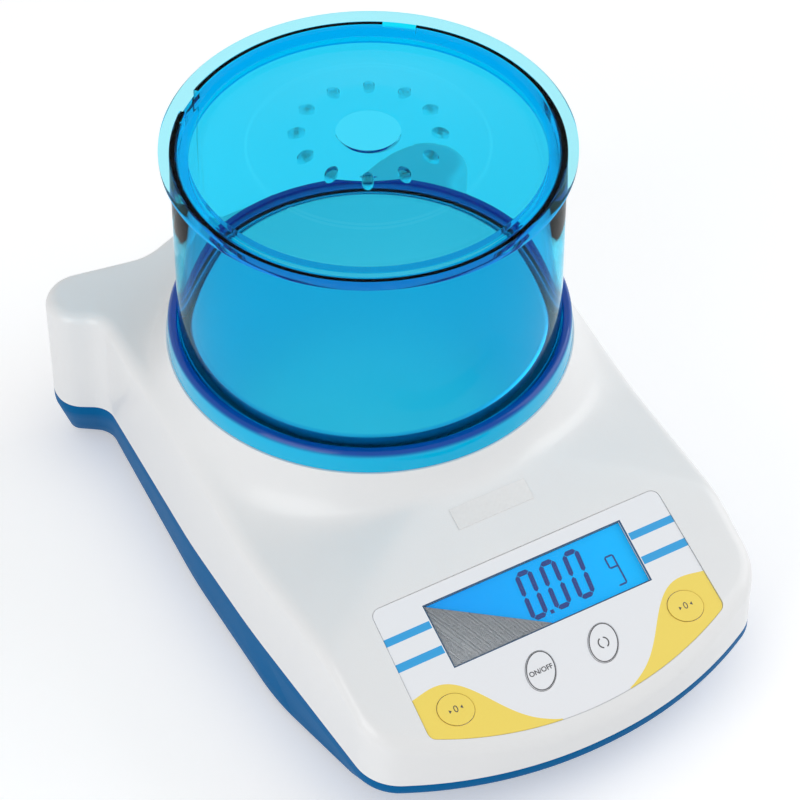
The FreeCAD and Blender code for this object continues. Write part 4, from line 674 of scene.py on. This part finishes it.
# Levelling wheels and their brass inserts. The wheels are fluted black plastic with a moulded stud.
wheel_plastic = Paint("wheel_plastic")
wheel_plastic.mottle((0.02, 0.02, 0.022), (0.03, 0.03, 0.032), 900.0, 0.4, 0.52)
wheel_plastic.wear(*(nodes["foot_wheel_" + corner] for corner in FOOT_NAMES))
brass = Paint("brass", metallic=1.0)
brass.mottle((0.68, 0.50, 0.22), (0.76, 0.58, 0.28), 700.0, 0.28, 0.4)
brass.wear(nodes["foot_inserts"])

# Control label. Printed film, glued in its bed: white, with two pairs of blue bars beside the
# display, yellow corners that sweep under the outer keys, and a thin dark line round the display.


def panel_spot(paint):
    """Two values in millimetres on the panel: across, and down the slope from the display's edge."""
    x, y, z = paint.place()
    down = (y - PANEL_Y) * -math.cos(PANEL_SLOPE) + (z - PANEL_Z) * -math.sin(PANEL_SLOPE)
    return x, down


SWEEP = ((13, 52.3), (17, 50.4), (21, 48.2), (25, 44.9), (29, 40.4), (33, 35.0), (37, 30.2),
         (41, 26.9), (45, 25.4), (50, 25.3), (56.4, 27))
SWEEP_START, SWEEP_SPAN = 13.0, 60.0
BAR_START, UPPER_BAR, LOWER_BAR = 38.3, (4.9, 7.5), (13.9, 16.7)
LINE_HALF, LINE_TOP, LINE_LOW = 38.0, -0.5, 22.5
WHITE_PRINT, BAR_BLUE, SWEEP_YELLOW = (0.86, 0.87, 0.90), (0.03, 0.37, 0.76), (0.93, 0.72, 0.13)
label_print = Paint("printed_label", roughness=0.34, specular_ior_level=0.45)
across, down = panel_spot(label_print)
outward = across.join("ABSOLUTE")
upper_bar = (down > UPPER_BAR[0]) * (down < UPPER_BAR[1])
lower_bar = (down > LOWER_BAR[0]) * (down < LOWER_BAR[1])
bars = (outward > BAR_START) * (upper_bar + lower_bar)
curve = label_print.node("ShaderNodeValToRGB", None, {0: outward * (1 / SWEEP_SPAN)})
ramp = curve.color_ramp
ramp.interpolation = "B_SPLINE"
for index, (reach, fall) in enumerate(SWEEP):
    stop = ramp.elements[0] if index == 0 else ramp.elements.new(reach / SWEEP_SPAN)
    stop.position = reach / SWEEP_SPAN
    stop.color = (fall / SWEEP_SPAN,) * 3 + (1,)
while len(ramp.elements) > len(SWEEP):
    ramp.elements.remove(ramp.elements[-1])
boundary = Value(label_print, curve.outputs[0]) * SWEEP_SPAN
yellow = (down > boundary) * (outward > SWEEP_START)
line = (outward < LINE_HALF) * (down > LINE_TOP) * (down < LINE_LOW)
tint = label_print.blend(bars, WHITE_PRINT, BAR_BLUE)
tint = label_print.blend(yellow, tint, SWEEP_YELLOW)
tint = label_print.blend(line, tint, (0.02, 0.07, 0.15))
label_print.feed("Base Color", tint)
label_print.wear(nodes["control_label"])

# Display. A blue backlit cell behind a clear window of acrylic: the light is brightest to the
# right, and dark segments on the cell show a plain 0.00, a unit sign and two small marks.
CELL_LOW, CELL_TOP, COVER_LOW, COVER_TOP, INK_HEIGHT = -4.5, -1.6, -1.48, -0.32, -1.54
lit = Paint("display_blue", roughness=0.25, emission_strength=0.2, specular_ior_level=0.1)
across, down = panel_spot(lit)
share = (across + SIGHT_HALF) * (1 / (2 * SIGHT_HALF))
glow = lit.blend(share, (0.0, 0.32, 0.86), (0.0, 0.47, 0.93))
lit.feed("Base Color", glow)
lit.feed("Emission Color", glow)
sight = rectangle((-SIGHT_HALF, -SIGHT_TALL), (SIGHT_HALF, 0.0))
glass = onto_panel(prism("display_cell", sight, CELL_LOW, CELL_TOP))
finish_mesh(glass)
lit.wear(glass)
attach(glass, "housing")
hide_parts("display_glass")
clear_cover = Paint("display_window", alpha=0.04, ior=1.5, specular_ior_level=0.3)
clear_cover.mottle((0.2, 0.5, 0.9), (0.25, 0.55, 0.92), 30.0, 0.03, 0.07)
cover = onto_panel(prism("window_cover", sight, COVER_LOW, COVER_TOP))
finish_mesh(cover)
clear_cover.wear(cover)
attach(cover, "housing")
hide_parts("display_window")
DIGIT_LEFT, DIGIT_TOP, DIGIT_WIDE, DIGIT_TALL = -5.9, -1.8, 6.4, 17.2
DIGIT_LEAN, DIGIT_STEP, DIGIT_COUNT = 1.6, 9.1, 3
STROKE, SEGMENT_GAP, POINT_SIZE, POINT_AWAY = 1.7, 0.14, 1.3, 0.7
UNIT_LEFT, UNIT_RIGHT, UNIT_TOP, UNIT_LOW, UNIT_STROKE = 27.2, 30.2, -9.0, -19.5, 0.3
MARK_X, MARK_LINE, UPPER_MARK_Y, LOWER_MARK_Y = -36.6, 0.3, -4.7, -16.9


def bar(start, end, half, point):
    """A segment of a digit: a bar between two points with pointed ends."""
    start, end = np.array(start, float), np.array(end, float)
    along = (end - start) / np.linalg.norm(end - start)
    across = np.array([-along[1], along[0]]) * half
    return np.array([start, start + along * point + across, end - along * point + across, end,
                     end - along * point - across, start + along * point - across])[::-1]


def lean_over(outline, left, top):
    """Slants a digit: each point moves right in step with its height above the digit's foot."""
    outline = np.array(outline, float)
    outline[:, 0] += left + DIGIT_LEAN * (1 + outline[:, 1] / DIGIT_TALL)
    outline[:, 1] += top
    return outline


segments = []
half, gap = STROKE / 2, SEGMENT_GAP
left_x, right_x, low_y, middle_y = half, DIGIT_WIDE - half, -DIGIT_TALL + half, -DIGIT_TALL / 2
NOUGHT = (((left_x + gap, -half), (right_x - gap, -half)),
          ((left_x + gap, low_y), (right_x - gap, low_y)),
          ((left_x, -half - gap), (left_x, middle_y + gap)),
          ((right_x, -half - gap), (right_x, middle_y + gap)),
          ((left_x, middle_y - gap), (left_x, low_y + gap)),
          ((right_x, middle_y - gap), (right_x, low_y + gap)))
for digit in range(DIGIT_COUNT):
    left = DIGIT_LEFT + digit * DIGIT_STEP
    for start, end in NOUGHT:
        segments.append(lean_over(bar(start, end, half, half), left, DIGIT_TOP))
point_low = np.array([DIGIT_LEFT + DIGIT_WIDE + POINT_AWAY, DIGIT_TOP - DIGIT_TALL])
segments.append(rectangle(point_low, point_low + POINT_SIZE))
segments.append(bar((MARK_X + 1, UPPER_MARK_Y), (MARK_X + 2.4, UPPER_MARK_Y), 0.35, 0.05))
unit_middle = (UNIT_TOP + UNIT_LOW) / 2 + 1.2
for start, end in (((UNIT_LEFT, UNIT_TOP), (UNIT_RIGHT, UNIT_TOP)),
                   ((UNIT_LEFT, UNIT_TOP), (UNIT_LEFT, unit_middle)),
                   ((UNIT_LEFT, unit_middle), (UNIT_RIGHT, unit_middle)),
                   ((UNIT_RIGHT, UNIT_TOP), (UNIT_RIGHT, UNIT_LOW)),
                   ((UNIT_LEFT, UNIT_LOW), (UNIT_RIGHT, UNIT_LOW))):
    segments.append(bar(start, end, UNIT_STROKE, UNIT_STROKE))


def flat_sheets(name, outlines, height):
    """Flat printed shapes on the panel, all at one height over its plane, as one mesh."""
    points, faces = [], []
    for outline in outlines:
        faces.append(list(range(len(points), len(points) + len(outline))))
        points += [(x, y, height) for x, y in outline]
    return onto_panel(new_piece(name, points, faces))


def hoop(centre, long_radius, short_radius, lean, width, start=0.0, end=360.0, count=64):
    """A thin line along an oval, as quads: the whole way round or between two angles."""
    lean = math.radians(lean)
    along = np.array([math.sin(lean), math.cos(lean)])
    across = np.array([math.cos(lean), -math.sin(lean)])
    angle = np.radians(np.linspace(start, end, count + 1))[:, None]
    outer, inner = (np.cos(angle) * along * (long_radius - inset)
                    + np.sin(angle) * across * (short_radius - inset) + np.array(centre)
                    for inset in (0, width))
    return [np.array([outer[index + 1], inner[index + 1], inner[index], outer[index]])
            for index in range(count)]


segments += hoop((MARK_X, UPPER_MARK_Y), 1.35, 0.85, 0, MARK_LINE)
segments += hoop((MARK_X, LOWER_MARK_Y), 1.3, 1.3, 0, MARK_LINE, 0, 180, 24)
digits = flat_sheets("display_segments", segments, INK_HEIGHT)
ink_blue = Paint("segment_ink", roughness=0.4)
clouds = ink_blue.noise(400.0)
ink_blue.feed("Base Color", ink_blue.blend(clouds, (0.0, 0.01, 0.16), (0.0, 0.015, 0.2)))
ink_blue.wear(digits)
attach(digits, "housing")

# Keys. Four sprung caps that stand just proud of the label: two white ones with a grey line round
# them, and two yellow ones. Their marks are plain signs, printed on the caps.
cap = Paint("key_cap", specular_ior_level=0.45)
cap.mottle((0.84, 0.85, 0.88), (0.87, 0.88, 0.91), 90.0, 0.34, 0.4)
cap.wear(nodes["key_on_off"], nodes["key_unit"])
yellow_cap = Paint("yellow_cap", specular_ior_level=0.45)
yellow_cap.mottle((0.91, 0.70, 0.12), (0.94, 0.73, 0.14), 90.0, 0.34, 0.4)
yellow_cap.wear(nodes["key_tare_left"], nodes["key_tare_right"])
ink = Paint("key_ink", roughness=0.5)
clouds = ink.noise(400.0)
ink.feed("Base Color", ink.blend(clouds, (0.05, 0.05, 0.06), (0.07, 0.07, 0.08)))


def words(name, text, height, middle, bold=0.0):
    """Printed letters on the panel: a text object made a mesh, centred on a point, with strokes that
    are bold millimetres wider on each side."""
    curve = bpy.data.curves.new(name, "FONT")
    curve.body, curve.size, curve.align_x, curve.align_y = text, height, "CENTER", "CENTER"
    curve.resolution_u, curve.offset = 4, bold
    letters = bpy.data.objects.new(name, curve)
    bpy.context.scene.collection.objects.link(letters)
    mesh = bpy.data.meshes.new_from_object(letters.evaluated_get(bpy.context.evaluated_depsgraph_get()))
    bpy.data.objects.remove(letters)
    points = mesh_points(mesh)[:, :2]
    return [points[list(face.vertices)] + middle for face in mesh.polygons]


ARROW = np.array([(0, 0), (-0.9, 0.65), (-0.9, -0.65)])
ARROW_AWAY, RING_INSET, RING_LINE, PRINT_HEIGHT = 1.6, 0.06, 0.36, 0.02
LEGENDS = {
    "key_on_off": words("power_words", "ON/OFF", 2.4, KEYS["key_on_off"][0], 0.05),
    "key_unit": [quad for start in (20, 200)
                 for quad in hoop(KEYS["key_unit"][0], 2.0, 2.0, 0, 0.45, start, start + 140, 20)],
}
for key in ("key_tare_left", "key_tare_right"):
    x, y = KEYS[key][0]
    LEGENDS[key] = words("zero_words", "0", 3.4, (x, y)) + [
        (ARROW + (x - ARROW_AWAY, y))[::-1], ARROW * (-1, 1) + (x + ARROW_AWAY, y)]
for key, shapes in LEGENDS.items():
    centre, long_radius, short_radius, lean = KEYS[key]
    if key in ("key_on_off", "key_unit"):
        shapes = shapes + hoop(centre, long_radius - RING_INSET, short_radius - RING_INSET, lean,
                               RING_LINE, count=96)
    legend = flat_sheets(key.replace("key", "mark"), shapes, PRINT_HEIGHT)
    ink.wear(legend)
    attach(legend, key.replace("key_", "") + "_button")

# Nameplate. A plain silver foil stuck on the roof above the display, left bare.
PLATE_HALF, PLATE_TOP, PLATE_LOW, PLATE_LIFT, PLATE_FILM = 14.4, 26.3, 18.6, 0.08, 0.1
across, up = np.meshgrid(np.linspace(-PLATE_HALF, PLATE_HALF, 13), np.linspace(PLATE_TOP, PLATE_LOW, 7))
plate_y = PANEL_Y + up * math.cos(PANEL_SLOPE)
plate = np.stack([across, plate_y, roof_height(across, plate_y) + PLATE_LIFT], -1)
foil = grid_mesh("nameplate", plate, around=False)
film = foil.modifiers.new("film", "SOLIDIFY")
film.thickness, film.offset = PLATE_FILM * MM, 1
finish_mesh(foil)
silver = Paint("silver_foil", metallic=0.3)
silver.mottle((0.70, 0.70, 0.70), (0.76, 0.76, 0.76), 900.0, 0.36, 0.46)
silver.wear(foil)
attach(foil, "housing")

# Boards and their parts, the display's frame and light guide, the socket: hidden or dark pieces.
board = Paint("board", specular_ior_level=0.5)
board.mottle((0.01, 0.10, 0.045), (0.02, 0.15, 0.07), 300.0, 0.3, 0.45)
board.wear(nodes["main_board"], nodes["display_board"])
black = Paint("black_plastic")
black.mottle((0.015, 0.015, 0.017), (0.025, 0.025, 0.027), 500.0, 0.4, 0.55)
black.wear(*(nodes[name] for name in ("board_parts", "display_frame", "key_switches", "power_socket")))
guide = Paint("light_guide", emission_strength=0.2)
guide.mottle((0.4, 0.75, 0.95), (0.5, 0.8, 1.0), 50.0, 0.2, 0.3)
guide.wear(nodes["display_light"])

# Batteries and contacts. Sleeved round cells between nickel-plated plates in the bay.
sleeve = Paint("battery_can")
COPPER_END = 38.0
copper = sleeve.place()[0].join("ABSOLUTE") > COPPER_END
sleeve.feed("Base Color", sleeve.blend(copper, (0.03, 0.03, 0.035), (0.55, 0.33, 0.16)))
sleeve.feed("Roughness", 0.3 + sleeve.noise(300.0) * 0.1)
sleeve.wear(nodes["batteries"])
nickel = Paint("contact_metal", metallic=1.0)
nickel.mottle((0.6, 0.59, 0.55), (0.7, 0.69, 0.64), 600.0, 0.2, 0.32)
nickel.wear(nodes["battery_contacts"])

# Spirit level. A clear vial let into the roof behind the pan, with a ring and a bubble inside.
vial = Paint("vial", transmission_weight=0.6, ior=1.45)
RING_INSIDE, RING_OUTSIDE = 2.6, 3.0
radius = vial.from_axis(VIAL_Y)
ring_line = (radius > RING_INSIDE) * (radius < RING_OUTSIDE)
vial.feed("Base Color", vial.blend(ring_line, (0.62, 0.85, 0.35), (0.02, 0.02, 0.02)))
vial.feed("Roughness", 0.05 + vial.noise(200.0) * 0.05)
vial.wear(nodes["level_vial"])

# Studio. A pale floor, a bright room and two broad lamps; the camera stands where the photograph's
# did.
scene = bpy.context.scene
FLOOR_HALF = 6000.0
floor_outline = rectangle((-FLOOR_HALF, -FLOOR_HALF), (FLOOR_HALF, FLOOR_HALF))
floor = new_piece("floor", np.column_stack([floor_outline, np.zeros(4)]), [(0, 1, 2, 3)])
ground = Paint("floor", roughness=0.9, specular_ior_level=0.1, emission_strength=0.26)
ground.mottle((0.93, 0.93, 0.935), (0.94, 0.94, 0.945), 3.0, 0.85, 0.95)
rays = ground.node("ShaderNodeLightPath").outputs
seen = Value(ground, rays["Is Camera Ray"]) + Value(ground, rays["Is Glossy Ray"])
seen = (seen + Value(ground, rays["Is Transmission Ray"])) > 0.5
ground.feed("Emission Color", ground.blend(seen, (0.0, 0.0, 0.0), (1.0, 1.0, 1.0)))
ground.wear(floor)
ROOM_LIGHT, BACKDROP_LIGHT = 0.55, 1.0
world = bpy.data.worlds.new("room")
world.use_nodes = True
scene.world = world
backdrop = world.node_tree.nodes["Background"]
backdrop.inputs[0].default_value = (1, 1, 1, 1)
rays = world.node_tree.nodes.new("ShaderNodeLightPath")
seen = rays.outputs["Is Camera Ray"]
for other in ("Is Glossy Ray", "Is Transmission Ray"):
    either = world.node_tree.nodes.new("ShaderNodeMath")
    either.operation = "MAXIMUM"
    world.node_tree.links.new(seen, either.inputs[0])
    world.node_tree.links.new(rays.outputs[other], either.inputs[1])
    seen = either.outputs[0]
bright = world.node_tree.nodes.new("ShaderNodeMapRange")
world.node_tree.links.new(seen, bright.inputs[0])
bright.inputs[3].default_value, bright.inputs[4].default_value = ROOM_LIGHT, BACKDROP_LIGHT
world.node_tree.links.new(bright.outputs[0], backdrop.inputs[1])


def aim_at(piece, spot, aim):
    """Stands a lamp or the camera at a spot, looking at a point."""
    piece.location = spot
    piece.rotation_mode = "QUATERNION"
    piece.rotation_quaternion = (Vector(aim) - piece.location).to_track_quat("-Z", "Y")


def lamp(name, spot, size, watts):
    """A square soft box at a spot, turned to the balance."""
    light = bpy.data.lights.new(name, "AREA")
    light.shape, light.size, light.energy = "SQUARE", size, watts
    piece = bpy.data.objects.new(name, light)
    scene.collection.objects.link(piece)
    aim_at(piece, spot, LAMP_AIM)


LAMP_AIM = (0, 0, 0.05)
lamp("key_lamp", (-1.2, -0.5, 0.65), 0.9, 7)
lamp("fill_lamp", (1.2, -0.3, 0.7), 1.2, 9)

PHOTO_WIDTH, FOCAL_LENGTH, SENSOR_WIDTH = 800, 3284.64, 36
CAMERA_SPOT, CAMERA_AIM = (-0.39498, -0.67702, 0.86441), (0.02287, 0.0479, 0.0199)
camera = bpy.data.objects.new("camera", bpy.data.cameras.new("camera"))
scene.collection.objects.link(camera)
scene.camera = camera
camera.data.sensor_width = SENSOR_WIDTH
camera.data.lens = SENSOR_WIDTH * FOCAL_LENGTH / PHOTO_WIDTH
camera.data.clip_end = 20
aim_at(camera, CAMERA_SPOT, CAMERA_AIM)
scene.view_settings.view_transform = "Standard"
